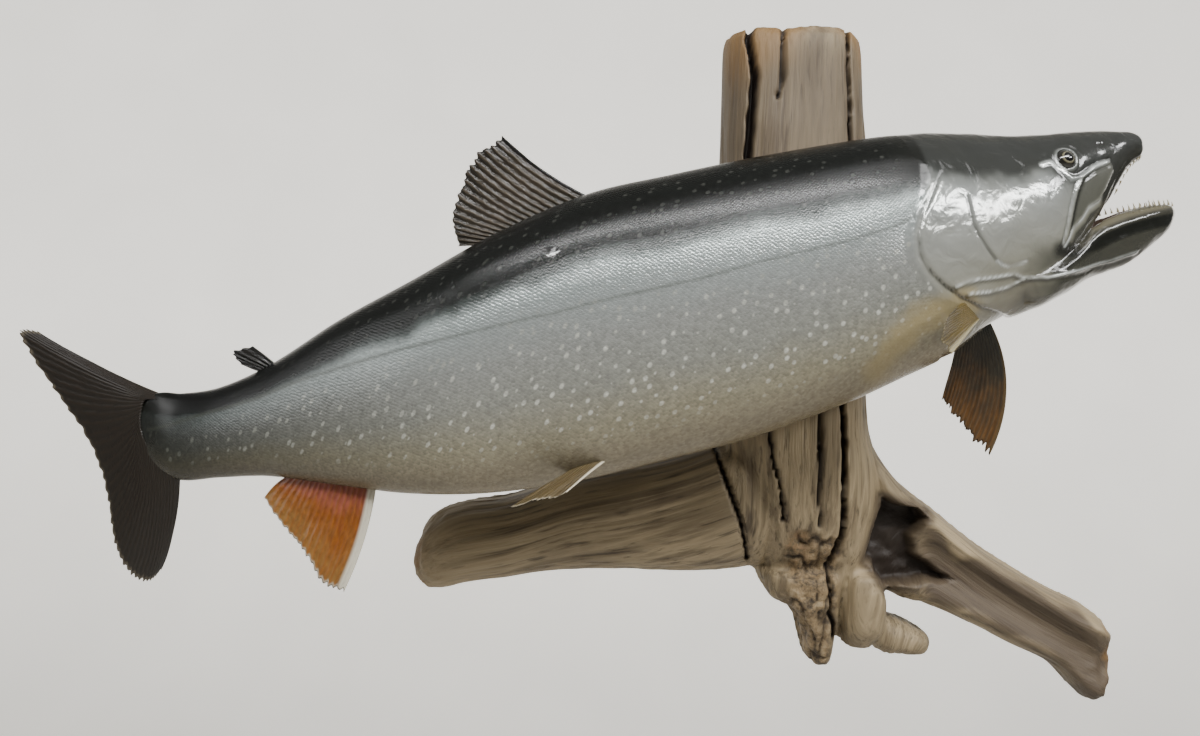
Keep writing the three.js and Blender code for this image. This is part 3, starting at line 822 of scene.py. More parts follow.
@dataclass(frozen=True)
class WeatheredWood:
    """Driftwood: bare softwood weathered grey-brown, with raised grain, checks and hollow darkened with
    painted shade, and stained ends.
    """

    pale: str = "#938366"
    brown: str = "#74664e"
    umber: str = "#574a37"
    dark: str = "#2f261b"
    # painted shade round the hollow and behind the fish, also the colour of the root's dark valley, tip and
    # damp stain
    shade: str = "#3b3025"
    stain: str = "#73562f"
    rot: str = "#7d694b"
    ember: str = "#84501f"
    # painted shade deep in the hollow, the checks and the rot's cracks
    hollow: str = "#1d140d"
    grain_mm: float = 2.6
    streak_mm: float = 9.0
    knot_mm: float = 11.0
    patch_mm: float = 60.0
    crumb_mm: float = 7.0
    grain_stretch: float = 0.045
    knot_stretch: float = 0.22

    def material(self) -> Material:
        """Builds the material.

        Returns:
            The material.
        """
        material, tree = new_tree("weathered_driftwood")
        place = add(tree, "TexCoord", out="Object")
        grain, limb, shade_and_wear = (
            add(tree, "Attribute", out="Vector", attribute_name=name) for name in ("grain", "limb", "shade_and_wear")
        )
        # valley carries the root's dark valley, its stains and painted shade behind the fish and round the
        # hollow; hollow is painted shade in the hollow, checks and the rot's cracks
        valley, pale, rotten = (add(tree, "SeparateXYZ", {0: limb}, out=axis) for axis in "XYZ")
        hollow, ember, stained = (add(tree, "SeparateXYZ", {0: shade_and_wear}, out=axis) for axis in "XYZ")

        run = add(tree, "VectorMath", {0: grain, 1: (1.0, 1.0, self.grain_stretch)}, operation="MULTIPLY")
        fine = add(
            tree, "TexNoise",
            {"Vector": run, "Scale": 1 / self.grain_mm, "Detail": 4.0, "Roughness": 0.6, "Distortion": 0.2},
        )
        broad = add(
            tree, "TexNoise", {"Vector": run, "Scale": 1 / self.streak_mm, "Detail": 5.0, "Distortion": 0.5}
        )
        short = add(tree, "VectorMath", {0: grain, 1: (1.0, 1.0, self.knot_stretch)}, operation="MULTIPLY")
        knots = add(tree, "TexNoise", {"Vector": short, "Scale": 1 / self.knot_mm, "Detail": 3.0})
        patch = add(tree, "TexNoise", {"Vector": place, "Scale": metres(self.patch_mm), "Detail": 5.0})

        colour = add(
            tree, "ValToRGB", {0: broad},
            stops=((0.32, self.umber), (0.44, self.brown), (0.56, self.pale), (0.7, self.brown)),
        )
        for ends, coat in (
            ({0: patch, 1: 0.4, 2: 0.62, 4: 0.6}, self.brown),
            ({0: fine, 1: 0.34, 2: 0.44, 3: 0.6, 4: 0.0}, self.dark),
            ({0: fine, 1: 0.56, 2: 0.68, 4: 0.5}, self.pale),
            ({0: knots, 1: 0.67, 2: 0.74, 4: 0.75}, self.dark),
        ):
            share = add(tree, "MapRange", ends)
            colour = add(tree, "Mix", {0: share, 6: colour, 7: coat}, **RGBA_MIX)
        crumbly = {"Vector": place, "Scale": metres(self.crumb_mm), "Detail": 6.0, "Roughness": 0.7}
        crumb = add(tree, "TexNoise", crumbly)
        rot_colour = add(
            tree, "ValToRGB", {0: crumb},
            stops=((0.32, self.dark), (0.42, self.umber), (0.52, self.rot), (0.68, self.pale)),
        )
        sparks = add(tree, "MapRange", {0: crumb, 1: 0.5, 2: 0.62})
        sparks = add(tree, "Math", {0: sparks, 1: ember}, operation="MULTIPLY")
        # valley and hollow shares bring in painted shade besides the real stains, bleaching, rot and embers
        for share, coat in (
            (pale, self.pale), (valley, self.shade), (stained, self.stain), (rotten, rot_colour),
            (sparks, self.ember), (hollow, self.hollow),
        ):
            colour = add(tree, "Mix", {0: share, 6: colour, 7: coat}, **RGBA_MIX)

        height = add(tree, "Math", {0: fine, 1: 1.2, 2: broad}, operation="MULTIPLY_ADD")
        relief = add(tree, "Bump", {"Height": height, "Strength": 0.7, "Distance": 1.3 * MM})
        crumbs = add(tree, "Math", {0: crumb, 1: rotten}, operation="MULTIPLY")
        relief = add(tree, "Bump", {"Height": crumbs, "Strength": 0.8, "Distance": 3 * MM, "Normal": relief})
        shader = add(
            tree, "BsdfPrincipled", {"Base Color": colour, "Roughness": 0.62, "Normal": relief, "IOR": 1.45}
        )
        add(tree, "OutputMaterial", {"Surface": shader})
        return material


# Thick varnish that pooled in soft waves on the bare head, and a thin coat of it on the scales.
BARE_SKIN = VarnishedSkin(
    "varnished_trout_skin", gloss=0.7, gloss_roughness=0.05, grain_mm=1.4, grain_depth=0.12, pool_mm=13.0
)
SCALED_SKIN = VarnishedSkin(
    "varnished_trout_scales", gloss=0.12, gloss_roughness=0.12, grain_mm=0.7, grain_depth=0.2
)


# ---------- The fish's own shape ----------

BODY = Loft((
    (-443, -12, -26, 0.3, 78, 0.5, 2), (-439, -5, -33, 1.4, 79, 0.5, 2), (-432, 0, -41, 3.8, 81, 0.5, 2),
    (-422, 2.5, -49, 8, 83, 0.5, 2), (-408, 2.5, -54, 11.5, 86, 0.5, 2), (-380, 8, -50, 15.5, 96, 0.5, 2.1),
    (-345, 24, -47, 20.5, 104, 0.5, 2.1), (-300, 53, -50, 27.5, 112, 0.5, 2.1),
    (-255, 78, -53, 35, 118, 0.5, 2.1), (-205, 107, -51, 42.5, 119, 0.5, 2.2),
    (-150, 132, -42, 48, 118, 0.5, 2.2), (-100, 145, -29, 50.5, 115, 0.5, 2.2),
    (-45, 158, -14, 51, 110, 0.5, 2.2), (15, 170, 9, 49.5, 105, 0.5, 2.2),
    (48, 175, 24, 47, 100, 0.52, 2.1), (80, 177, 39.5, 44.5, 95, 0.51, 1.84),
    (108, 177, 60.5, 40.3, 89.4, 0.5, 1.8), (135, 179, 70, 33.5, 83, 0.54, 2.15),
    (150, 181, 88, 28.5, 80, 0.6, 2.3), (165, 182.7, 112, 24, 76, 0.55, 2.4),
    (178, 183.6, 133, 20, 72, 0.5, 2.6), (187, 184, 151, 17, 70, 0.45, 2.8),
    (196, 184, 163, 13, 68, 0.42, 2.8), (203, 181.5, 168, 8.8, 67, 0.42, 2.6),
    (207, 176.5, 172, 3, 66, 0.45, 2.2), (208.2, 174.8, 173.6, 0.3, 66, 0.45, 2.2),
))
JAW = Loft((
    (112, 100, 74, 22, 88, 0.6, 2.2), (128, 99, 67.5, 33.5, 84.5, 0.6, 2.2),
    (150, 108, 77, 28, 80, 0.62, 2.3), (172, 127, 89, 22, 74, 0.65, 2.4), (198, 135, 99, 17, 69, 0.68, 2.5),
    (216, 138.5, 112, 12.5, 65, 0.66, 2.4), (228, 139, 122, 7, 62, 0.62, 2.2),
    (233, 136, 131, 2, 60, 0.55, 2), (233.8, 134.4, 132.6, 0.3, 60, 0.55, 2),
))
MOUTH = Loft((
    (126, 118, 112, 4, 84, 0.5, 2), (140, 130, 107, 12, 81, 0.5, 2.2),
    (160, 146, 106, 15.5, 77, 0.5, 2.4), (176, 160, 107, 14.5, 73, 0.5, 2.6),
    (188, 167, 110, 12.5, 70, 0.5, 2.8), (200, 171.5, 117, 7.5, 67.5, 0.5, 2.8),
    (205, 171.5, 122, 4.5, 66.5, 0.5, 2.6), (216, 156, 125, 6.5, 65, 0.35, 2.4),
    (225, 148, 131, 3, 62.5, 0.4, 2),
))
TONGUE = Loft((
    (146, 118, 108.5, 5, 80, 0.5, 2.2), (162, 120, 107.5, 7, 76.5, 0.5, 2.4),
    (182, 121, 110, 6.5, 71.5, 0.5, 2.4), (196, 123, 117.5, 4, 68.5, 0.5, 2.2),
))
LATERAL_LINE: Line = (
    (46, 123), (25, 113.5), (2, 106), (-27, 98), (-50, 92), (-84, 82), (-112, 75), (-140, 68),
    (-168, 60), (-197, 53), (-226, 45), (-256, 37), (-287, 27), (-320, 16), (-353, 2), (-389, -9),
    (-412, -17), (-431, -22),
)
GILL_EDGE: Line = (
    (60, 150), (56.5, 144), (53, 136), (46.4, 122), (43, 110), (45, 98.6), (52, 89), (61, 82),
    (74, 75), (90, 69.6), (103.5, 67.4), (117, 64), (124, 56),
)
HEAD_LINE: Line = (
    (34, 186), (46, 168), (50, 152), (49, 138), (43, 122), (40, 110), (42, 97), (49, 87),
    (58, 79), (66, 66), (76, 52), (84, 38), (90, 20),
)
JAW_TOP: Line = ((120, 60), (140, 92), (148, 104), (160, 108), (168, 122), (179, 131), (210, 150))
LIP_SHADOW: Line = (
    (141, 105.5), (148, 106.8), (156, 108.8), (167.7, 112), (180.4, 117.4), (193.8, 122.4), (211.6, 127.2),
    (226.5, 130.3),
)
RAY_RIDGES: tuple[Line, ...] = (
    (
        (68, 81.3), (80.4, 85.3), (94.7, 87.3), (108.2, 89.6), (115.5, 87.6), (131, 88.4), (143.5, 91),
        (156.8, 94.1), (170.6, 98.3), (183, 101.4), (200, 107),
    ),
    ((77.3, 77), (92.7, 78.6), (105.4, 81.9), (116, 87)),
)
PREOPERCLE: Line = (
    (73.5, 134), (75, 126), (77, 118), (81, 111), (86, 105), (90, 100.6), (94, 97), (98, 94.8), (102, 94),
    (107, 94.8), (115, 97.5),
)
BROW_RIDGE: Line = (
    (124.4, 156.2), (128, 157.8), (131.8, 158.4), (135.1, 155.1), (140.9, 151.6), (144.7, 148.6),
    (149.2, 149.5), (158, 155.4), (166, 159.5), (171.4, 161.3),
)
MAXILLA_REAR: Line = (
    (174, 163), (167, 160), (161, 158), (151, 151), (147, 142), (145, 133), (143, 120.5), (141, 109),
)
MAXILLA_FRONT: Line = (
    (143, 108), (146, 113), (148, 119), (155, 125.5), (159, 132), (167.5, 137), (172, 144), (178, 156),
)
MAXILLA: Line = MAXILLA_REAR + MAXILLA_FRONT
UPPER_LIP: Line = ((207, 172), (202, 168), (195, 162.6), (187, 152), (182, 141.5), (179, 131.5))
CROWN: Line = (
    (20, 140), (50, 151.5), (66, 150), (82, 150.3), (99, 149.5), (113, 150.5), (122, 154), (131, 156.5),
    (140, 151), (150, 150), (158, 153.5), (166, 156), (172, 140), (176, 60),
)
TAN_PATCH: Line = ((76, 71), (62, 67), (47, 61), (31, 43), (26, 31))
GAPE_CORNER: Line = ((140, 105.5), (148, 106), (154, 107.5))
GAPE_FOLD: Line = ((138, 92), (146, 97), (160, 105.5))
HOOD_REAR: Line = ((104, 141), (120, 150), (137, 166), (156, 177))
EYE_AT = 142.0
EYE_ANGLE = 1.0
EYE_SINK = 4.6
EYE_RADIUS = 7.5
SOCKET_RADIUS = 7.6
EYE_RIM = 7.0


def inside(points: Array, outline: Sequence[Sequence[float]]) -> Array:
    """Tells which points are inside a closed outline, by the even-odd rule.

    Args:
        points: N by 2 places.
        outline: the outline's corners in order.

    Returns:
        True for each point inside it.
    """
    knots = np.array(outline, float)
    within = np.zeros(len(points), bool)
    for (x0, z0), (x1, z1) in zip(knots, np.roll(knots, -1, axis=0)):
        if z0 == z1:
            continue
        crosses = (z0 > points[:, 1]) != (z1 > points[:, 1])
        within ^= crosses & (points[:, 0] < x0 + (points[:, 1] - z0) * (x1 - x0) / (z1 - z0))
    return within


def eye_place(side: Side) -> tuple[Array, Array]:
    """Finds an eyeball.

    Args:
        side: the flank that it is on.

    Returns:
        Its centre and the direction it looks in.
    """
    x, angle = np.array([EYE_AT]), np.array([side.value * EYE_ANGLE])
    gaze = BODY.normals(x, angle)[0]
    return BODY.place(x, angle)[0] - EYE_SINK * gaze, gaze


def on_head(points: Array) -> Array:
    """1 on the bare head, 0 on the scaled body."""
    distance, side = line_distance(points[:, [0, 2]], HEAD_LINE)
    return fade(-2, 2, distance * side)


def lateral_share(points: Array, reach: float) -> Array:
    """1 on the lateral line, fading over that many millimetres."""
    distance, _ = line_distance(points[:, [0, 2]], LATERAL_LINE)
    return bump(distance, reach)


def on_jaw(points: Array) -> Array:
    """1 on the lower jaw, 0 above the gape's corner and behind it."""
    distance, side = line_distance(points[:, [0, 2]], JAW_TOP)
    return fade(-1.5, 1.5, -distance * side) * fade(126, 142, points[:, 0])


def eye_ring(points: Array) -> Array:
    """Measures how far points are from the nearer eye.

    Args:
        points: N by 3 places.

    Returns:
        The distance to the middle of the eye's opening.
    """
    rings = []
    for side in Side:
        centre, gaze = eye_place(side)
        rings.append(np.linalg.norm(points - centre - EYE_SINK * gaze, axis=1))
    return np.minimum(*rings)


def jaw_paint(points: Array) -> tuple[Array, Array]:
    """The painted shadow under the lower lip, the darker grey of the lip above it, and painted shade in the
    throat's fold.

    Args:
        points: N by 3 places.

    Returns:
        The share of the painted shadow, the darker lip and the painted shade in the fold, and how far above
        the shadow's line each point is.
    """
    flat = points[:, [0, 2]]
    x = flat[:, 0]
    shadow, above = line_distance(flat, LIP_SHADOW)
    below = np.where(above > 0, 0.0, shadow)
    lip = np.where(above > 0, shadow, 0.0)
    # painted shadow under the lower lip, with the lip above it a darker grey
    band = 0.97 * bump(np.maximum(below - 3.6, 0), 2.8 + 2.4 * fade(190, 146, x)) * fade(7.5, 4.5, lip)
    band = np.maximum(band * (1 - 0.3 * fade(1.2, 3, lip)), 0.4 * fade(7.5, 4.5, lip))
    # painted shade in the throat's fold under the first gill ray
    under, over = line_distance(flat, RAY_RIDGES[0])
    fold = 0.55 * fade(9, 1.5, under) * (over < 0) * fade(118, 140, x)
    return np.maximum(band, fold), lip


def paint(points: Array) -> Array:
    """Finds where the skin and its coat are painted.

    Args:
        points: N by 3 places.

    Returns:
        Shares of the dark (the crown's own, and painted shade at lip, gape, throat fold and maxilla groove),
        the jaw bones' grey and the tan by the pectoral fin.
    """
    flat = points[:, [0, 2]]
    x, z = flat.T
    wander = 2.2 * ripple(points, 15, 31) + 1.2 * ripple(points, 5, 32)
    crown = np.interp(x, *zip(*CROWN))
    dark = 0.93 * fade(-15, 2, z + 1.5 * wander - crown) * fade(20, 45, x)
    jaw = on_jaw(points)
    # painted shadow under the lip and painted shade in the throat's fold
    jaw_dark, lip = jaw_paint(points)
    # painted shade in the corner of the gape and along its fold
    corner, _ = line_distance(flat, GAPE_CORNER)
    fold, _ = line_distance(flat, GAPE_FOLD)
    gape = np.maximum(0.9 * fade(9, 1, corner + 0.6 * wander), 0.75 * fade(7, 1.5, fold))
    leaf = inside(flat, MAXILLA)
    rear, _ = line_distance(flat, MAXILLA_REAR)
    front, _ = line_distance(flat, MAXILLA_FRONT)
    # painted shade in the groove along the maxilla's rear edge
    groove = 0.85 * bump(rear - 3.2, 1.3) * leaf * fade(112, 122, z) * fade(162, 150, z)
    ahead = x > np.interp(z, *zip(*HOOD_REAR))
    hood = fade(1.5, 5, front) * ~leaf * fade(141, 148, x) * ahead
    dark = np.where(leaf, groove, np.maximum(dark, 0.8 * hood))
    dark = np.maximum(dark * (1 - jaw), np.maximum(jaw_dark * jaw, gape))
    dark = dark * (1 - 0.55 * bump(eye_ring(points) - EYE_RIM, 1.0))
    tail = fade(-400, -430, x + 0.5 * np.maximum(0, -z - 22))
    dark = np.maximum(dark, 0.75 * tail)
    bone = np.maximum(0.9 * leaf * fade(0.4, 2.5, np.minimum(rear, front)), 0.92 * jaw)
    bone = bone * (1 - 0.3 * jaw * fade(1.5, 3.5, lip))
    bone = np.maximum(bone, 0.85 * fade(106, 134, x) * fade(114, 100, z))
    patch, _ = line_distance(flat, TAN_PATCH)
    tan = 0.7 * fade(14, 2, patch + 1.6 * wander)
    tan = np.maximum(tan, 0.3 * jaw * fade(5, 7.5, lip))
    return np.stack([dark, bone, tan], axis=1)


@dataclass
class Skin:
    """The one skin of the fish: body, head, jaw and mouth, with its folds and plates in relief."""

    sides: int = 240
    head_rings: int = 165
    jaw_grid: tuple[int, int] = (116, 152)
    mouth_grid: tuple[int, int] = (66, 88)
    body_pitch: float = 3.0
    head_from: float = 34.0
    coat_depth: float = 0.6
    opercle_line: Line = ((47, 112), (58, 106), (70, 100), (86, 96))
    cheek_bones: tuple[tuple[float, float, float, float], ...] = (
        (100, 140, 13, 0.9), (118, 146, 9, 0.8), (128, 133, 11, 0.9), (124, 112, 12, 0.7), (66, 128, 14, 0.8),
        (60, 104, 13, 0.6), (96, 116, 12, 0.5),
    )
    nostrils: Line = ((166, 172.5), (169.5, 173))
    throat_fold: Line = (
        (110, 90), (111, 78), (126, 76), (152, 84), (172, 97), (177, 110), (160, 112), (140, 108.5),
        (122, 103),
    )
    throat_rounds: int = 110
    seam_rounds: int = 16
    rim_rounds: int = 2
    finish: VarnishedSkin = BARE_SKIN

    def build(self) -> None:
        """Makes the skin and stores what the markings need."""
        trunk = np.arange(BODY.rows[0][0], self.head_from, self.body_pitch)
        head = np.linspace(self.head_from, BODY.rows[-1][0], self.head_rings)
        skin = tube("trout_skin", np.concatenate([trunk, head]), self.sides, self.body_point)
        rings, sides = self.jaw_grid
        jaw = tube("jaw", JAW.places(rings), sides, self.jaw_point)
        combine(skin, [jaw], "UNION")
        rings, sides = self.mouth_grid
        mouth = tube("mouth", MOUTH.places(rings), sides, self.mouth_point)
        combine(skin, [mouth, *(self.socket(side) for side in Side)], "DIFFERENCE")
        triangulate(skin.data)
        self.ease(skin.data)
        self.mark(skin.data)
        skin.data.shade_smooth()
        dress(
            skin, self.finish.material(), "body_skin", "head", "lower_jaw", "shoulder", "belly", "tail_stalk",
            "gill_cover_right", "gill_cover_left", "maxilla_right", "maxilla_left",
        )

    def body_point(self, x: Array, turn: Array) -> Array:
        """Gives the body and head their relief.

        Args:
            x: the places along the fish.
            turn: shares of a turn round it.

        Returns:
            N by 3 points.
        """
        angle = turn * FULL_TURN
        place = BODY.place(x, angle)
        distance, side = line_distance(place[:, [0, 2]], HEAD_LINE)
        head = fade(-14, 2, distance * side)
        relief = -0.1 - (self.coat_depth - 0.1) * (1 - head)
        relief = relief + (1 - head) * self.trunk_relief(place)
        relief = relief + fade(24, 40, x) * self.head_relief(place)
        relief = relief * fade(0, 6, BODY.rows[-1][0] - x) * fade(0, 12, x - BODY.rows[0][0])
        limit = np.minimum(1, BODY.sizes(x)[2] / 6)
        return BODY.place(x, angle, relief * limit)

    def jaw_point(self, x: Array, turn: Array) -> Array:
        """Gives the lower jaw and throat their relief.

        Args:
            x: the places along the fish.
            turn: shares of a turn round it.

        Returns:
            N by 3 points.
        """
        angle = turn * FULL_TURN
        place = JAW.place(x, angle)
        relief = -0.15 + self.ray_relief(place)
        shadow, above = line_distance(place[:, [0, 2]], LIP_SHADOW)
        relief = relief - 0.5 * bump(shadow * above + 1.5, 3.4)
        relief = relief + 0.22 * ripple(place, 9, 5) + 0.1 * ripple(place, 3, 6)
        relief = relief * fade(0, 5, JAW.rows[-1][0] - x)
        return JAW.place(x, angle, relief * np.minimum(1, JAW.sizes(x)[2] / 5))

    def mouth_point(self, x: Array, turn: Array) -> Array:
        """Folds the mouth's lining lengthways.

        Args:
            x: the places along the fish.
            turn: shares of a turn round it.

        Returns:
            N by 3 points.
        """
        angle = turn * FULL_TURN
        folds = 0.5 * np.sin(angle * 11 + 0.05 * x) + 0.4 * ripple(MOUTH.place(x, angle), 6, 9)
        return MOUTH.place(x, angle, folds * fade(126, 140, x) * fade(222, 205, x))

    def socket(self, side: Side) -> Object:
        """Makes a ball that cuts an eye socket.

        Args:
            side: the flank that it is on.

        Returns:
            The ball.
        """
        centre, _ = eye_place(side)
        build = bmesh.new()
        bmesh.ops.create_icosphere(
            build, subdivisions=4, radius=SOCKET_RADIUS * MM, matrix=Matrix.Translation(Vector(centre) * MM)
        )
        return new_object("socket", new_mesh("socket", build))

    def ray_relief(self, place: Array) -> Array:
        """Raises the two edges of the gill rays, each with a hollow under it.

        Args:
            place: N by 3 points.

        Returns:
            Millimetres off the surface.
        """
        total = np.zeros(len(place))
        for line in RAY_RIDGES:
            distance, above = line_distance(place[:, [0, 2]], line)
            total += 0.8 * bump(distance, 1.25) - 0.6 * bump(distance - 2.8, 1.6) * (above < 0)
        return total

    def trunk_relief(self, place: Array) -> Array:
        """Hollows of a dried body under its scales."""
        return 0.45 * ripple(place, 34, 1) + 0.25 * ripple(place, 12, 2) - 0.25 * lateral_share(place, 1.6)

    def head_relief(self, place: Array) -> Array:
        """Raises the gill cover, cheek, jaw bone, lips and eye rim, and sinks the nostrils.

        Args:
            place: N by 3 points.

        Returns:
            Millimetres off the surface.
        """
        flat = place[:, [0, 2]]
        gill, ahead = line_distance(flat, GILL_EDGE)
        low = fade(150, 138, place[:, 2])
        step = fade(-1.3, 1.3, gill * ahead)
        relief = (step * 1.3 * fade(18, 0, gill) - (1 - step) * 1.2 * bump(gill, 2.2)) * low
        groove, front = line_distance(flat, PREOPERCLE)
        deep = fade(92, 104, place[:, 2])
        relief += 0.45 * fade(7, 0.5, groove) * (front > 0) - (0.25 + 0.75 * deep) * bump(groove, 1.0)
        relief += self.ray_relief(place)
        distance, _ = line_distance(flat, self.opercle_line)
        relief += 0.3 * bump(distance, 3.0)
        for x, z, reach, rise in self.cheek_bones:
            relief += rise * bump(np.hypot(flat[:, 0] - x, flat[:, 1] - z), reach)
        brow, _ = line_distance(flat, BROW_RIDGE)
        relief += 0.75 * bump(brow, 1.0) - 0.3 * bump(brow - 2.4, 1.2)
        leaf = inside(flat, MAXILLA)
        rear, _ = line_distance(flat, MAXILLA_REAR)
        front_edge, _ = line_distance(flat, MAXILLA_FRONT)
        edge = np.minimum(rear, front_edge)
        relief += np.where(leaf, 1.5 * fade(0, 2.2, edge) + 0.3, -0.4 * bump(rear, 1.2))
        relief += leaf * (0.5 * bump(edge - 1.4, 0.8) - 0.7 * bump(rear - 3.4, 1.3))
        lip, _ = line_distance(flat, UPPER_LIP)
        relief += 0.8 * bump(lip, 2.2) - 0.5 * bump(lip - 4.5, 1.2) * ~leaf
        ring = eye_ring(place)
        relief *= fade(6.3, 8.2, ring)
        relief += 0.75 * bump(ring - 6.9, 0.8) - 0.35 * bump(ring - 9.4, 1.6) - 0.9 * fade(6.4, 5.6, ring)
        for nostril in self.nostrils:
            relief -= 0.9 * bump(np.linalg.norm(flat - np.array(nostril), axis=1), 1.1)
        relief += on_head(place) * (0.26 * ripple(place, 11, 3) + 0.1 * ripple(place, 4.2, 4))
        return relief

    def ease(self, mesh: Mesh) -> None:
        """Softens the creases that the joins and cuts leave, and raises the throat's ridges again.

        Args:
            mesh: the joined skin.
        """
        points = read_points(mesh)
        body, jaw, mouth = (form.level(points) for form in (BODY, JAW, MOUTH))
        within = (points[:, 0] > 120) & (points[:, 0] < 232)
        seam = within & (np.abs(body - 1) < 0.16) & (np.abs(jaw - 1) < 0.2)
        relax(mesh, seam, self.seam_rounds)
        outer = mouth > 1.12
        relax(mesh, inside(points[:, [0, 2]], self.throat_fold) & outer, self.throat_rounds)
        points, normals = read_points(mesh), read_normals(mesh)
        rise = self.ray_relief(points) * inside(points[:, [0, 2]], self.throat_fold) * outer
        write_points(mesh, points + normals * rise[:, None])
        rim = within & (np.abs(mouth - 1) < 0.1) & ((np.abs(body - 1) < 0.1) | (np.abs(jaw - 1) < 0.1))
        relax(mesh, rim, self.rim_rounds)

    def mark(self, mesh: Mesh) -> None:
        """Stores where each point is on the flank, its region, paint and tone.

        Args:
            mesh: the finished skin.
        """
        points = read_points(mesh)
        x = points[:, 0]
        lining = ((MOUTH.level(points) < 1.06) & (x > 132) & (x < 226)).astype(float)
        # the middle share is the painted highlight along the head's ridges
        region = np.stack([on_head(points), self.painted_ridge_highlights(points) * (1 - lining), lining], axis=1)
        write_vectors(mesh, "flank", flank_place(points))
        write_vectors(mesh, "region", region)
        write_vectors(mesh, "paint", paint(points))
        write_vectors(mesh, "tone", self.tones(points))

    def painted_ridge_highlights(self, points: Array) -> Array:
        """Finds where highlights are painted along the ridges of the gill rays, the brow, the jaw bone and
        the cheek.

        Args:
            points: N by 3 places.

        Returns:
            How strong the painted highlight is at each point.
        """
        flat = points[:, [0, 2]]
        x, z = flat.T
        total = np.zeros(len(points))
        for line, width, share in (
            (RAY_RIDGES[0], 0.75, 0.85 - 0.55 * fade(130, 180, x)), (RAY_RIDGES[1], 0.75, 0.8),
            (BROW_RIDGE, 1.0, 0.95), (MAXILLA_REAR, 0.6, 0.3), (MAXILLA_FRONT, 0.9, 0.9 * fade(142, 132, z)),
            (PREOPERCLE[6:], 0.8, 0.6),
        ):
            distance, _ = line_distance(flat, line)
            # breaks each painted ridge highlight into pieces
            worn = fade(-0.9, 0.1, ripple(points, 6, 33))
            total = np.maximum(total, share * bump(distance, width) * worn)
        return total

    def tones(self, points: Array) -> Array:
        """Finds the painted shade in the skin's creases and grooves, and how dark the lateral line is.

        Args:
            points: N by 3 places.

        Returns:
            For each point an even share, which the scales have at random, the painted shade in creases and
            the line's.
        """
        flat = points[:, [0, 2]]
        head = on_head(points)
        gill, ahead = line_distance(flat, GILL_EDGE)
        # painted shade in the groove behind the gill cover, the preopercle and maxilla grooves, under the
        # gill rays and in the nostrils
        dark = 0.9 * bump(gill + 0.5, 1.1) * (ahead < 0) * fade(150, 138, flat[:, 1])
        groove, _ = line_distance(flat, PREOPERCLE[:8])
        dark = np.maximum(dark, 0.7 * bump(groove, 1.0))
        rear, _ = line_distance(flat, MAXILLA_REAR)
        dark = np.maximum(dark, 0.6 * bump(rear - 1.1, 0.9) * ~inside(flat, MAXILLA))
        for line in RAY_RIDGES:
            distance, above = line_distance(flat, line)
            dark = np.maximum(dark, 0.5 * head * bump(distance - 1.5, 0.9) * (above < 0))
        for nostril in self.nostrils:
            dark = np.maximum(dark, bump(np.linalg.norm(flat - np.array(nostril), axis=1), 1.3))
        line = 0.5 * lateral_share(points, 1.2) * (1 - head)
        return np.stack([np.full(len(points), 0.5), dark * (points[:, 0] > 20), line], axis=1)


def flank_place(points: Array) -> Array:
    """Finds points on the flank, for the markings.

    Args:
        points: N by 3 places.

    Returns:
        The place along the fish, the distance round it and the height from belly to back.
    """
    x = np.clip(points[:, 0], BODY.rows[0][0], BODY.rows[-1][0])
    back, belly, half, out, widest, _ = BODY.sizes(x)
    middle = belly + widest * (back - belly)
    sideways = -(points[:, 1] + out) / np.maximum(half, 1)
    angle = np.arctan2(sideways, (points[:, 2] - middle) / ((back - belly) / 2 + 1))
    around = angle * (half + (back - belly) / 2) / 2
    height = np.clip((points[:, 2] - belly) / np.maximum(back - belly, 1), 0, 1)
    return np.stack([points[:, 0], around, height], axis=1)


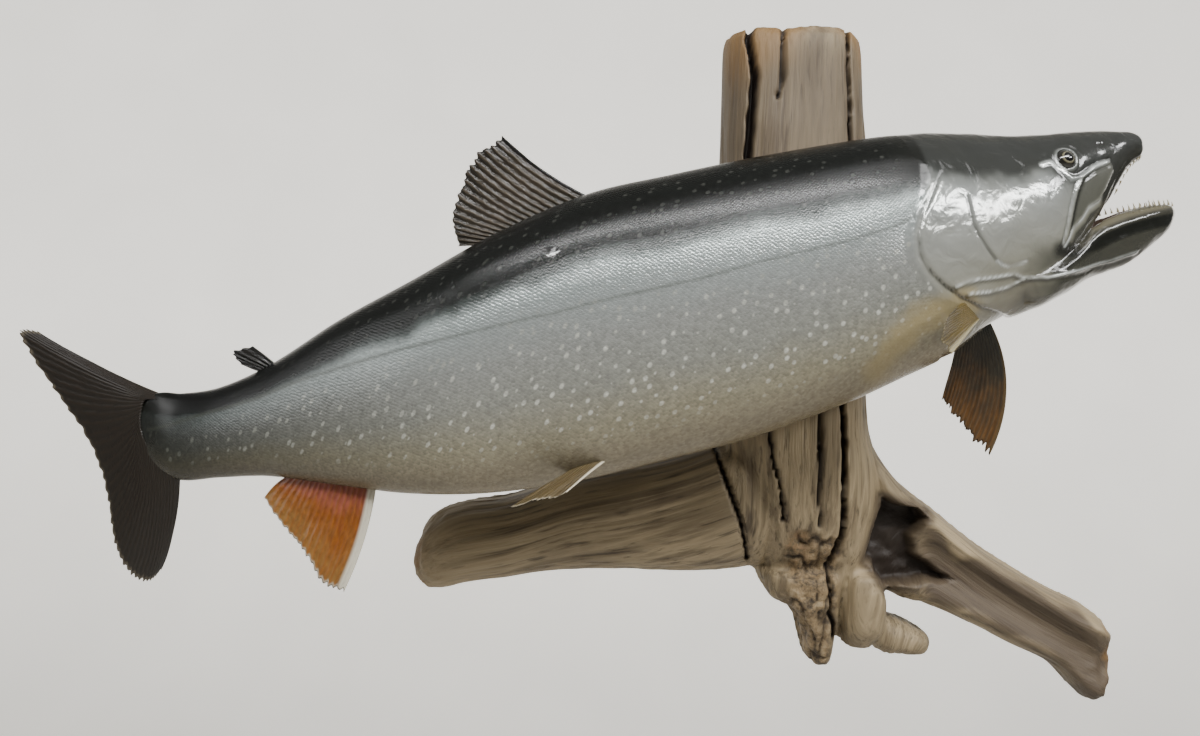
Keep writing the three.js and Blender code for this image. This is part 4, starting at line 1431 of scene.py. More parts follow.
@dataclass
class ScaleCoat:
    """The coat: overlapping scales, each a closed lens with its root sunk in the skin."""

    pitch: float = 2.35
    row_pitch: float = 2.3
    tail_pitch: float = 1.7
    first: float = -437.0
    last: float = 70.0
    length: float = 3.5
    width: float = 2.9
    thickness: float = 0.26
    lift: float = 0.2
    depth: float = 0.35
    raise_by: float = 0.12
    along_jitter: float = 0.25
    round_jitter: float = 0.3
    tilt: float = 0.035
    points: int = 8
    most: int = 12000
    ring_samples: int = 400
    fewest_round: int = 8
    bald_from: float = 0.35
    patch: float = 0.003
    margin: float = 0.02
    finish: VarnishedSkin = SCALED_SKIN
    random: np.random.Generator = field(default_factory=lambda: np.random.default_rng(11))

    def build(self) -> None:
        """Makes the coat in pieces of at most so many scales."""
        x, angle, size = self.roots()
        finish = self.finish.material()
        groups = np.array_split(np.argsort(x), math.ceil(len(x) / self.most))
        pieces = [
            self.patch_of_scales(f"scale_coat_{number + 1}", x[group], angle[group], size[group])
            for number, group in enumerate(groups)
        ]
        for piece in pieces:
            dress(piece, finish, "body_skin")

    def roots(self) -> tuple[Array, Array, Array]:
        """Spreads the scales' roots over the body, row by row.

        Returns:
            Each root's place along and round the fish, and its size against the largest.
        """
        xs, angles, sizes = [], [], []
        turn = np.linspace(0, FULL_TURN, self.ring_samples)
        x, row = self.first, 0
        while x < self.last:
            size = float(np.interp(x, (-440, -300, -100), (self.tail_pitch / self.pitch, 0.9, 1.0)))
            ring = BODY.place(np.full(len(turn), x), turn)
            arc = np.concatenate([[0], np.cumsum(np.linalg.norm(np.diff(ring, axis=0), axis=1))])
            count = max(self.fewest_round, round(arc[-1] / (self.row_pitch * size)))
            shares = (np.arange(count) + 0.5 * (row % 2)) / count * arc[-1]
            jitter = self.random.uniform(-self.round_jitter, self.round_jitter, count)
            angles.append(np.interp(shares + jitter, arc, turn))
            xs.append(x + self.random.uniform(-self.along_jitter, self.along_jitter, count))
            sizes.append(np.full(count, size))
            x += self.pitch * 0.5 * size
            row += 1
        x, angle, size = (np.concatenate(part) for part in (xs, angles, sizes))
        keep = on_head(BODY.place(x, angle)) < self.bald_from
        return x[keep], angle[keep], size[keep]

    def template(self) -> Object:
        """Makes one scale.

        Returns:
            A sphere of a few faces, which is pressed flat when it is placed.
        """
        build = bmesh.new()
        bmesh.ops.create_uvsphere(build, u_segments=self.points, v_segments=2, radius=0.5)
        build.loops.layers.uv.new("OFBake")
        return new_object("scale", new_mesh("scale", build))

    def patch_of_scales(self, name: str, x: Array, angle: Array, size: Array) -> Object:
        """A row of copies of one scale, each moved to its root.

        Args:
            name: the piece's name.
            x: the roots' places along the fish.
            angle: the roots' angles round it.
            size: each scale's size.

        Returns:
            The piece.
        """
        piece = self.template()
        piece.name = name
        shape = read_points(piece.data) * MM
        copies = piece.modifiers.new("copies", "ARRAY")
        copies.count = len(x)
        settle(piece)
        mesh = piece.data
        gap, side = line_distance(BODY.place(x, angle)[:, [0, 2]], HEAD_LINE)
        full = fade(-2, 14, -gap * side) * fade(-440, -415, x)
        tilt = self.random.uniform(-self.tilt, self.tilt, (len(x), 2))
        normal = BODY.normals(x, angle)
        place = BODY.place(x, angle, -self.depth) - (0.25 * (1 - full))[:, None] * normal
        size = size * (0.7 + 0.3 * full)
        tail = -(BODY.place(x + 0.5, angle) - BODY.place(x - 0.5, angle))
        tail -= normal * np.sum(tail * normal, axis=1, keepdims=True)
        tail /= np.linalg.norm(tail, axis=1, keepdims=True)
        across = np.cross(normal, tail)
        rear = shape[:, 0]
        narrow = 1 - 0.35 * np.maximum(0, -rear * 2) ** 2
        long_part = (rear + 0.28)[None, :, None] * (self.length * size)[:, None, None]
        wide_part = (shape[:, 1] * narrow)[None, :, None] * (self.width * size)[:, None, None]
        rise = shape[:, 2] * self.thickness + self.lift * (rear + 0.2)
        curl = -0.35 * shape[:, 1] ** 2
        high = (rise + curl)[None, :] * size[:, None] + tilt[:, :1] * rear + tilt[:, 1:] * shape[:, 1]
        points = (
            place[:, None]
            + long_part * tail[:, None]
            + wide_part * across[:, None]
            + (high[:, :, None] + self.raise_by) * normal[:, None]
        ).reshape(-1, 3)
        write_points(mesh, points)
        chance = np.repeat(self.random.uniform(0, 1, len(x)), len(shape))
        line = 0.6 * lateral_share(points, 1.1)
        # painted shade at each scale's root, where the scale ahead overlaps it
        shade = np.tile(np.clip(-rear * 0.6, 0, 0.14), len(x))
        write_vectors(mesh, "flank", flank_place(points))
        write_vectors(mesh, "region", np.zeros_like(points))
        write_vectors(mesh, "paint", paint(points))
        write_vectors(mesh, "tone", np.stack([chance, shade, line], axis=1))
        self.unwrap(mesh, shape, x, angle)
        mesh.shade_flat()
        return piece

    def unwrap(self, mesh: Mesh, shape: Array, x: Array, angle: Array) -> None:
        """Gives each scale a small patch at its root's place on an unwrap of the body.

        Args:
            mesh: the scales.
            shape: the points of one scale.
            x: the roots' places along the fish.
            angle: the roots' angles round it.
        """
        length = BODY.rows[-1][0] - BODY.rows[0][0]
        root = np.stack([(x - BODY.rows[0][0]) / length, (angle / FULL_TURN) % 1.0], axis=1)
        used = 1 - 2 * self.margin
        place = self.margin + used * root[:, None] + shape[None, :, :2] * self.patch
        corner = np.empty(len(mesh.loops), np.int32)
        mesh.loops.foreach_get("vertex_index", corner)
        flat = place.reshape(-1, 2)[corner].astype(np.float32)
        mesh.uv_layers["OFBake"].data.foreach_set("uv", flat.ravel())


# ---------- Fins ----------


@dataclass
class Fin:
    """One fin: a fan of rays between a root line and a ragged margin, thinner towards the margin."""

    name: str
    base: tuple[Point, ...]
    margin: tuple[Point, ...]
    root: float
    edge: float
    bow: tuple[float, float]
    rays: int
    finish: FinMembrane
    slot: str
    ragged: float = 0.05
    notch: float = 0.2
    wave: float = 1.0
    ridge: float = 0.28
    across: int = 240
    along: int = 46
    seed: int = 0

    def build(self) -> None:
        """Makes the fin."""
        rays = np.linspace(0, 1, self.across)
        fin = tube(self.name + "_membrane", rays, 2 * self.along, self.surface, self.marks)
        dress(fin, self.finish.material(), self.slot, self.name)

    def marks(self, t: Array, turn: Array) -> Array:
        """The place among the rays, the reach and the share across the fin."""
        return np.stack([t * self.rays, 1 - np.abs(1 - turn * 2), t], axis=1)

    def direction(self) -> Array:
        """Finds the fin's mean plane.

        Returns:
            Its unit normal, away from the wall.
        """
        base, margin = np.array(self.base) * OUTWARD, np.array(self.margin) * OUTWARD
        first, last = margin[0] - base[0], margin[-1] - base[-1]
        normal = np.cross(first + last, margin[-1] - margin[0])
        normal /= np.linalg.norm(normal)
        return -normal if normal[1] > 0 else normal

    def middle(self, t: Array, reach: Array) -> Array:
        """A point of the fin's middle surface.

        Args:
            t: the share of the way from the first ray to the last.
            reach: the share of the way from root to margin.

        Returns:
            N by 3 points.
        """
        root, tip = curve(self.base, t) * OUTWARD, curve(self.margin, t) * OUTWARD
        normal = self.direction()
        ray = tip - root
        sideways = np.cross(ray, normal)
        sideways /= np.maximum(np.linalg.norm(sideways, axis=1, keepdims=True), 1e-6)
        depth = (self.bow[0] + (self.bow[1] - self.bow[0]) * t) * 4 * reach * (1 - reach)
        return root + ray * reach[:, None] + sideways * depth[:, None]

    def surface(self, t: Array, turn: Array) -> Array:
        """A point of the fin.

        Args:
            t: the share of the way from the first ray to the last.
            turn: the first half of a turn is the near face, the rest the far one.

        Returns:
            N by 3 points.
        """
        front = turn < 0.5
        reach = np.where(front, turn * 2, 2 - turn * 2)
        share = t * self.rays
        wave = np.cos(share * FULL_TURN)
        torn = np.stack([share * 0.9, np.zeros_like(t), np.full_like(t, self.seed)], axis=1)
        nibbled = 0.5 * ripple(torn, 0.8, self.seed) + 0.5 * ripple(torn, 0.3, self.seed + 40)
        length = 1 - self.notch * 0.12 * (0.5 - 0.5 * wave) - self.ragged * (0.5 + 0.5 * nibbled)
        reach = reach * length
        thickness = self.root + (self.edge - self.root) * np.minimum(1, reach * 1.6)
        ridge = self.ridge * (0.5 + 0.5 * wave)
        half = thickness * 0.34 * (1 - 0.45 * reach) + ridge * (1 - 0.55 * reach)
        rounding = np.sqrt(np.clip(1 - (2 * t - 1) ** 20, 0, 1))
        rounding = rounding * np.sqrt(np.clip(1.02 - (reach / length) ** 12, 0, 1))
        warp = np.stack([t * 6, reach * 2.2, np.full_like(t, 3.0 + self.seed)], axis=1)
        tight = np.stack([share * 0.5, reach * 5, np.full_like(t, 9.0 + self.seed)], axis=1)
        bend = 1.6 * ripple(warp, 1.0, self.seed)
        bend = bend + 0.25 * ripple(tight, 1.0, self.seed) * fade(1.0, 0.3, reach)
        offset = np.where(front, half, -half) * np.maximum(rounding, 0.12)
        offset = offset + self.wave * bend * fade(0.12, 0.8, reach)
        return self.middle(t, reach) + offset[:, None] * self.direction()


# ---------- Eyes, teeth and tongue ----------


@dataclass
class Eye:
    """One eyeball: a cast ball with a clear bulge over the pupil."""

    side: Side
    finish: GlassEye = GlassEye()
    bulge: float = 0.5
    bulge_reach: float = 3.2
    opening: float = 6.4
    behind: float = 1.2
    segments: tuple[int, int] = (72, 48)

    def build(self) -> None:
        """Makes the eyeball, and stores how far each point is from the middle of its gaze."""
        name = "eye_right" if self.side is Side.NEAR else "eye_left"
        centre, gaze = eye_place(self.side)
        build = bmesh.new()
        around, down = self.segments
        bmesh.ops.create_uvsphere(build, u_segments=around, v_segments=down, radius=EYE_RADIUS * MM)
        mesh = new_mesh(name, build)
        ball = read_points(mesh)
        turned = ball @ np.array(Vector((0, 0, 1)).rotation_difference(Vector(gaze)).to_matrix()).T
        forward = turned @ gaze
        off_axis = np.linalg.norm(turned - forward[:, None] * gaze, axis=1)
        bulge = self.bulge * bump(off_axis, self.bulge_reach) * (forward > 0)
        write_points(mesh, centre + turned + bulge[:, None] * gaze)
        radius = np.where(forward > 0, off_axis / self.opening, self.behind)
        write_vectors(mesh, "gaze", np.stack([radius, radius, radius], axis=1))
        mesh.shade_smooth()
        dress(new_object("fish_" + name, mesh), self.finish.material(), "eye", name)


@dataclass
class Mouth:
    """Teeth in both jaws and the tongue."""

    tooth_length: float = 3.7
    tooth_radius: float = 0.8
    tooth_sides: int = 9
    tooth_curve: float = 0.32
    size_range: tuple[float, float] = (0.75, 1.1)
    lean: float = 0.15
    splay: float = 0.12
    upper: tuple[float, float] = (184, 203)
    lower: tuple[float, float] = (186, 229)
    upper_count: int = 8
    lower_count: int = 12
    tongue_rings: int = 60
    tongue_sides: int = 48
    tooth: PlainGloss = PlainGloss("tooth_enamel", "#a39a80", "#6f6550", 2.5, 0.3)
    flesh: PlainGloss = PlainGloss("varnished_tongue", "#8f6a5c", "#5d4035", 6.0, 0.3)
    random: np.random.Generator = field(default_factory=lambda: np.random.default_rng(5))

    def build(self) -> None:
        """Makes the teeth and the tongue."""
        self.teeth()
        tongue = tube("tongue_flesh", TONGUE.places(self.tongue_rings), self.tongue_sides, self.tongue_point)
        dress(tongue, self.flesh.material(), "mouth", "tongue")

    def tongue_point(self, x: Array, turn: Array) -> Array:
        """Gives the tongue a groove along its top and a rounded tip.

        Args:
            x: the places along the fish.
            turn: shares of a turn round it.

        Returns:
            N by 3 points.
        """
        angle = turn * FULL_TURN
        tip = 1 - fade(188, 197, x) * 0.6
        groove = -0.8 * bump(np.minimum(angle, FULL_TURN - angle), 0.5)
        groove = groove + 0.3 * ripple(TONGUE.place(x, angle), 4, 3)
        return TONGUE.place(x, angle, groove - 1.6 * (1 - tip))

    def teeth(self) -> None:
        """Makes all the teeth as one piece, each rooted in its gum."""
        tooth = self.one_tooth()
        build = bmesh.new()
        for side in Side:
            for form, span, count, spread, way, sink in (
                (BODY, self.upper, self.upper_count, 0.8, -1, 0.9),
                (JAW, self.lower, self.lower_count, 0.68, 1, 1.0),
            ):
                for x in np.linspace(*span, count):
                    back, belly, half, out = (float(v[0]) for v in form.sizes(np.array([x]))[:4])
                    edge = back if way > 0 else belly
                    foot = (x, -out - side.value * half * spread, edge - way * sink)
                    self.plant(build, tooth, foot, way, side)
        mesh = new_mesh("teeth", build)
        mesh.shade_smooth()
        dress(new_object("teeth", mesh), self.tooth.material(), "mouth")

    def one_tooth(self) -> Mesh:
        """Makes a tooth a millimetre long.

        Returns:
            The tooth, which curves back to its point from a root at the origin.
        """
        build = bmesh.new()
        slim = self.tooth_radius / self.tooth_length
        bmesh.ops.create_cone(
            build, cap_ends=True, segments=self.tooth_sides, radius1=slim * MM, radius2=0.04 * MM, depth=MM
        )
        sides = [edge for edge in build.edges if abs(edge.verts[0].co.z - edge.verts[1].co.z) > 0.5 * MM]
        bmesh.ops.subdivide_edges(build, edges=sides, cuts=3, use_grid_fill=True)
        bmesh.ops.translate(build, verts=build.verts, vec=(0, 0, 0.5 * MM))
        mesh = new_mesh("tooth", build)
        points = read_points(mesh)
        points[:, 0] -= self.tooth_curve * points[:, 2] ** 2
        write_points(mesh, points)
        return mesh

    def plant(self, build: BMesh, tooth: Mesh, foot: Point, way: int, side: Side) -> None:
        """Adds one tooth.

        Args:
            build: the mesh that it joins.
            tooth: the shape of a tooth.
            foot: the middle of its root.
            way: 1 to stand up, -1 to hang.
            side: the flank that it is on.
        """
        before = len(build.verts)
        build.from_mesh(tooth)
        build.verts.ensure_lookup_table()
        size = self.tooth_length * self.random.uniform(*self.size_range)
        lean = self.random.uniform(-self.lean, self.lean) + side.value * self.splay
        lean = Matrix.Rotation(lean, 4, "X")
        flip = Matrix.Rotation(math.pi if way < 0 else 0.0, 4, "X")
        place = Matrix.Translation(Vector(foot) * MM) @ flip @ lean @ Matrix.Scale(size, 4)
        bmesh.ops.transform(build, matrix=place, verts=build.verts[before:])


# ---------- Driftwood ----------


@dataclass(frozen=True)
class Limb:
    """One limb of the wood: half rounds along a run, flat on the wall.

    Each row holds the place along the run, the two edges across it and the depth off the wall.
    """

    rows: tuple[tuple[float, float, float, float], ...]
    upright: bool = False
    valley: float = 0.0
    power: float = 2.7
    spread: float = 0.4
    round_part: float = 0.74

    def sizes(self, at: Array) -> tuple[Array, Array, Array]:
        """Reads the limb's size.

        Args:
            at: places along the run.

        Returns:
            The two edges and the depth at each place.
        """
        table = np.array(self.rows)
        at = np.clip(at, table[0, 0], table[-1, 0])
        return tuple(smooth(table[:, 0], table[:, column], at) for column in (1, 2, 3))

    def point(self, at: Array, turn: Array) -> Array:
        """A point of the limb.

        Args:
            at: places along the run.
            turn: shares of a turn: over the half round and back along the wall.

        Returns:
            N by 3 points.
        """
        low, high, deep = self.sizes(at)
        front = turn < self.round_part
        angle = np.where(front, turn / self.round_part * math.pi, math.pi)
        back = np.where(front, 0.0, (turn - self.round_part) / (1 - self.round_part))
        across = (low + high) / 2 + squircle(np.cos(angle), self.power) * (high - low) / 2
        across = across + back * (high - low)
        dip = 1 - self.valley * bump(angle - math.pi / 2, self.spread)
        y = -np.where(front, squircle(np.sin(angle), self.power) * deep * dip, 0.0)
        y = np.minimum(y, 0.0)
        return np.stack([across, y, at] if self.upright else [at, y, across], axis=1)


@dataclass
class Driftwood:
    """The mount: one piece of driftwood, with its grain, checks, knots, rot and a hollow darkened with
    painted shade.
    """

    trunk: Limb = Limb((
        (-118, -22, 62, 36), (-100, -34, 56, 48), (-70, -46, 58, 56), (-40, -56, 56, 60),
        (-10, -61, 47, 62), (40, -62, 44, 62), (100, -61, 42, 62), (160, -60, 40, 60),
        (222, -59.5, 36, 57), (246, -59, 34, 55), (252, -57, 31, 50),
    ), upright=True)
    left: Limb = Limb((
        (-269, -126, -110, 16), (-264, -136, -95, 34), (-252, -139, -84, 44), (-232, -133, -77, 48),
        (-200, -128, -71, 48), (-160, -122, -57, 49), (-120, -122, -46, 50), (-80, -122, -36, 52),
        (-44, -119, -20, 54), (-25, -117, -10, 50),
    ))
    right: Limb = Limb((
        (40, -112, -4, 40), (58, -129, -38, 46), (73, -136, -56, 46), (95, -143, -71, 44),
        (129, -156, -97, 42), (161, -171, -117, 41), (187, -185, -131, 42), (205, -203, -139, 43),
        (215, -208, -145, 42), (223, -196, -153, 34), (227, -178, -160, 18),
    ), valley=0.3)
    tip: Limb = Limb((
        (-188, 15, 27, 16), (-182, 10, 30, 28), (-165, 5, 31, 36), (-148, -1, 33, 42),
        (-134, -20, 36, 46), (-117, -28, 40, 48),
    ), upright=True)
    heel: Limb = Limb((
        (-172, 36, 58, 30), (-158, 33, 66, 42), (-146, 32, 66, 46), (-132, 32, 64, 48), (-117, 34, 57, 48),
    ), upright=True)
    stub: Limb = Limb((
        (60, -176, -150, 28), (72, -179, -152, 28), (84, -180, -156, 26), (94, -180, -162, 22),
        (100, -177, -166, 14), (102, -174, -169, 6),
    ))
    checks: tuple[tuple[Line, float, float], ...] = (
        (((-44, 256), (-46, 243), (-42, 218), (-43, 190), (-45, 160), (-45, 140)), 30, 3.6),
        (((-24, 256), (-25, 242), (-25, 215), (-27, 205)), 17, 2.0),
        (((19, 256), (19, 240), (21, 200), (22, 160), (21, 110)), 20, 2.0),
        (((-28, 5), (-27, -12), (-23, -34), (-17, -55), (-13.5, -77)), 16, 1.5),
        (((6, 15), (6.7, -1), (7.6, -27), (8.6, -55), (10.4, -80)), 16, 1.7),
        (((20, 15), (21, 4), (24, -24), (25, -54), (27, -82), (25, -95), (19, -111)), 26, 2.6),
        (((19, -111), (21.5, -127), (25, -145), (27, -164)), 18, 2.0),
    )
    limb_crack: Line = (
        (-70, 30), (-66, -10), (-62, -24), (-57, -41), (-50, -60), (-43, -78), (-39, -94), (-36, -107),
    )
    limb_crack_depth: float = 16.0
    limb_crack_width: float = 2.0
    hollow: Line = (
        (56, -62), (66, -66), (83, -72), (89, -78), (81, -90), (82, -103), (96, -111), (112, -121),
        (97, -122), (72, -125), (60, -126), (46, -106), (50, -92),
    )
    hollow_floor: float = 18.0
    valley_depth: float = 1.5
    flat_within: float = 0.9
    root_valley: Line = ((84, -100), (104, -117), (130, -128), (160, -145), (188, -159), (212, -175))
    root_stain: Line = (
        (84, -108), (100, -117), (119, -128), (139, -139), (158, -149), (178, -159), (195, -173), (202, -186),
    )
    voxel: float = 1.9
    joint_z: float = -112.0
    joint_reach: float = 15.0
    joint_rounds: int = 24
    ring_pitch: float = 5.0
    fewest_rings: int = 12
    sides: int = 84
    finish: WeatheredWood = WeatheredWood()

    def build(self) -> None:
        """Makes the wood: its limbs as one even mesh, smoothed where they meet and then carved."""
        limbs = []
        for form in (self.trunk, self.left, self.right, self.tip, self.heel, self.stub):
            start, end = form.rows[0][0], form.rows[-1][0]
            rings = max(self.fewest_rings, round((end - start) / self.ring_pitch))
            limbs.append(tube("limb", np.linspace(start, end, rings), self.sides, form.point))
        wood = gather("driftwood_mount", limbs)
        remesh = wood.modifiers.new("even", "REMESH")
        remesh.mode = "VOXEL"
        remesh.voxel_size = self.voxel * MM
        settle(wood)
        points = read_points(wood.data)
        joint = np.abs(points[:, 2] - self.joint_z) < self.joint_reach
        relax(wood.data, joint & (points[:, 0] < 70) & (points[:, 1] < -8), self.joint_rounds)
        self.carve(wood.data)
        wood.data.shade_smooth()
        dress(
            wood, self.finish.material(), "driftwood", "wood_trunk", "wood_right_root", "wood_heel",
            "wood_rotten_tip", "wood_left_limb", "wood_side_stub",
        )

    def carve(self, mesh: Mesh) -> None:
        """Cuts the grain, checks, knots, rot and hollow, and stores where they are.

        Args:
            mesh: the even wood.
        """
        points, normals = read_points(mesh), read_normals(mesh)
        flat = points[:, [0, 2]]
        grain, rot, valley = self.grain_place(points), self.rot_share(points), self.valley_share(points)
        front = fade(0.5, 6, -points[:, 1])
        rise, crack = self.surface_rise(points, grain, rot)
        points = points + normals * (rise * front)[:, None]
        gap = self.check_depth(points, flat)
        deep = self.hollow_share(points)
        points[:, 1] += gap + self.valley_depth * valley
        floor = -self.hollow_floor - 1.5 * ripple(points / 6, 1, 10)
        points[:, 1] = points[:, 1] + deep * (np.maximum(points[:, 1], floor) - points[:, 1])
        points[:, 1] = np.minimum(points[:, 1], 0.0)
        points[points[:, 1] > -self.flat_within, 1] = 0.0
        write_points(mesh, points)
        painted_shade_and_stain, pale, ember, stain = self.weathering(points, flat, rot, front)
        # painted shade in the checks, the hollow and the rot's cracks
        dark = np.maximum(np.clip(gap / 6, 0, 1), np.maximum(deep * 0.92, rot * np.clip(crack, 0, 1) * 0.8))
        write_vectors(mesh, "grain", grain)
        write_vectors(mesh, "limb", np.stack([np.maximum(0.85 * valley, painted_shade_and_stain), pale, rot], axis=1))
        write_vectors(mesh, "shade_and_wear", np.stack([dark, ember, stain], axis=1))

    def surface_rise(self, points: Array, grain: Array, rot: Array) -> tuple[Array, Array]:
        """Raises the grain, the broken ends and the crumbs of the rot.

        Args:
            points: N by 3 places.
            grain: their places in the grain.
            rot: how rotten each is.

        Returns:
            Millimetres off the surface, and how cracked the rot is.
        """
        x, z = points[:, [0, 2]].T
        fine = ripple(grain * (1 / 2.6, 1 / 2.6, 1 / 60), 1, 2)
        ridge = ripple(grain * (1 / 7, 1 / 7, 1 / 110), 1, 1)
        broad = ripple(grain * (1 / 22, 1 / 22, 1 / 140), 1, 3)
        split = ripple(grain * (1 / 5, 1 / 5, 1 / 45), 1, 13)
        rise = 1.5 * broad + 0.7 * ridge + 0.35 * fine - 2.6 * np.maximum(0, split - 0.42)
        rise += 0.8 * ripple(points / 26, 1, 17)
        rise *= 1 - 0.7 * rot
        skewed = points @ np.array(Matrix.Rotation(0.5, 3, "X") @ Matrix.Rotation(0.6, 3, "Y"))
        lump = ripple(points * (1 / 10, 1 / 10, 1 / 30), 1, 4) + 0.6 * ripple(skewed / 5, 1, 5)
        crack = bump(ripple(points * (1 / 8, 1 / 8, 1 / 40) + 0.1 * lump[:, None], 1, 6), 0.12)
        rise += rot * (-1.5 + 2.4 * lump - 2.8 * crack)
        left_end = fade(-232, -256, x)
        root_end = fade(196, 214, x) * fade(-120, -140, z)
        for share, seed in ((left_end, 7), (root_end, 9)):
            rise += share * (1.5 * ripple(points / 10, 1, seed) + 0.7 * ripple(points / 4, 1, seed + 1))
        return rise, crack

    def check_depth(self, points: Array, flat: Array) -> Array:
        """How deep the drying checks and the crack beside the left limb go.

        Args:
            points: N by 3 places.
            flat: where they were in X and Z before the grain was raised.

        Returns:
            Millimetres towards the wall.
        """
        gap = np.zeros(len(points))
        crack = (self.limb_crack[1:], self.limb_crack_depth, self.limb_crack_width)
        for line, depth, width in (*self.checks, crack):
            distance, _ = line_distance(flat, line)
            half = width * (0.9 + 0.3 * ripple(points / 8, 1, 12))
            gap = np.maximum(gap, 0.55 * depth * fade(1.0, 0.15, distance / half))
        return gap * fade(10, 26, -points[:, 1])

    def weathering(self, points: Array, flat: Array, rot: Array, front: Array) -> tuple[Array, ...]:
        """Finds where the wood has painted shade or dark stains, and where it is bleached, reddened and
        stained.

        Args:
            points: N by 3 places on the carved wood.
            flat: where they were in X and Z before it was carved.
            rot: how rotten each is.
            front: 0 on the back and 1 on the front.

        Returns:
            The four shares.
        """
        x, z = flat.T
        stain = 0.75 * fade(200, 246, z) * fade(-0.5, 0.3, ripple(points / 26, 1, 11))
        stain = np.maximum(stain, 0.8 * fade(214, 224, x) * fade(-0.4, 0.3, ripple(points / 9, 1, 21)))
        stain = np.maximum(stain, 0.9 * bump(x + 265, 4) * fade(-0.6, 0.2, ripple(points / 9, 1, 22)))
        pale = 0.6 * np.maximum(fade(-190, -256, x), fade(-178, -168, z) * fade(196, 206, x))
        ember = 0.5 * rot * fade(12, -6, x) * fade(-122, -104, z)
        # painted shade on the trunk behind and above the fish
        painted_shade_behind_fish = 0.65 * fade(-30, 90, z) * fade(300, 215, z)
        # painted shade round the hollow's rim
        painted_shade_and_stain = np.maximum(0.75 * self.hollow_share(points, 5.0), painted_shade_behind_fish)
        tip = fade(-176, -188, z + 3 * ripple(points / 8, 1, 25)) * fade(192, 202, x)
        damp, _ = line_distance(flat, self.root_stain)
        damp = fade(17, 9, damp + 4 * ripple(points / 14, 1, 26)) * (0.7 + 0.25 * ripple(points / 9, 1, 27))
        return np.maximum(painted_shade_and_stain, np.maximum(0.85 * tip, 0.9 * damp * front)), pale, ember, stain

    def grain_place(self, points: Array) -> Array:
        """Follows the grain, which sweeps from the trunk into the limbs.

        Args:
            points: N by 3 places.

        Returns:
            Each point's place across, into and along the grain.
        """
        x, y, z = points.T
        wander = 3.5 * ripple(points / (40, 40, 70), 1, 20)
        left_edge, right_edge = self.left.sizes(x)[1], self.right.sizes(x)[1]
        distance, side = line_distance(points[:, [0, 2]], self.limb_crack)
        left = fade(-3, 3, -distance * side)
        right = fade(38, 98, x) * fade(30, -30, z)
        across = x * (1 - left - right) + (-62 + left_edge - z) * left + (44 - right_edge + z) * right
        along = z * (1 - left - right) + (x + 40) * left + (-x * 1.2 + 40) * right
        return np.stack([across + wander, y, along], axis=1)

    def valley_share(self, points: Array) -> Array:
        """Finds the dark valley that runs down the right root.

        Args:
            points: N by 3 places.

        Returns:
            1 in the valley, 0 outside it.
        """
        distance, _ = line_distance(points[:, [0, 2]], self.root_valley)
        wide = 19 + 6 * ripple(points / 18, 1, 24)
        return fade(wide + 2, wide - 5, distance) * fade(70, 96, points[:, 0]) * (points[:, 1] < -6)

    def rot_share(self, points: Array) -> Array:
        """Finds the crumbling rotten wood below the trunk's foot.

        Args:
            points: N by 3 places.

        Returns:
            How rotten each point is.
        """
        x, z = points[:, 0], points[:, 2]
        noise = 5 * ripple(points / 12, 1, 14)
        across = fade(-14, -4, x + noise) * fade(30, 22, x + noise)
        return across * fade(-82, -92, z + noise) * fade(-196, -188, z)

    def hollow_share(self, points: Array, reach: float = 0.0) -> Array:
        """Finds the hollow between the trunk and the right root, which is darkened with painted shade.

        Args:
            points: N by 3 places.
            reach: how far round it counts too.

        Returns:
            1 inside it, 0 outside it.
        """
        flat = points[:, [0, 2]]
        flat = flat + np.stack([2.5 * ripple(points / 9, 1, 15), 2.5 * ripple(points / 9, 1, 16)], axis=1)
        distance, _ = line_distance(flat, self.hollow + self.hollow[:1])
        distance = np.where(inside(flat, self.hollow), distance, -distance)
        return fade(-0.5 - reach * 1.4, 3.5 - reach, distance) * (points[:, 1] < -3)


# ---------- The studio ----------


@dataclass(frozen=True)
class Lamp:
    """A soft oblong light: its size is in metres and its power in watts."""

    name: str
    place: Point
    target: Point
    size: tuple[float, float]
    power: float

    def build(self) -> None:
        """Hangs the light, facing its target."""
        data = bpy.data.lights.new(self.name, "AREA")
        data.shape = "RECTANGLE"
        data.size, data.size_y = self.size
        data.energy = self.power
        lamp = new_object(self.name, data)
        aim = (Vector(self.target) - Vector(self.place)).to_track_quat("-Z", "Y")
        lamp.matrix_world = Matrix.Translation(Vector(self.place) * MM) @ aim.to_matrix().to_4x4()


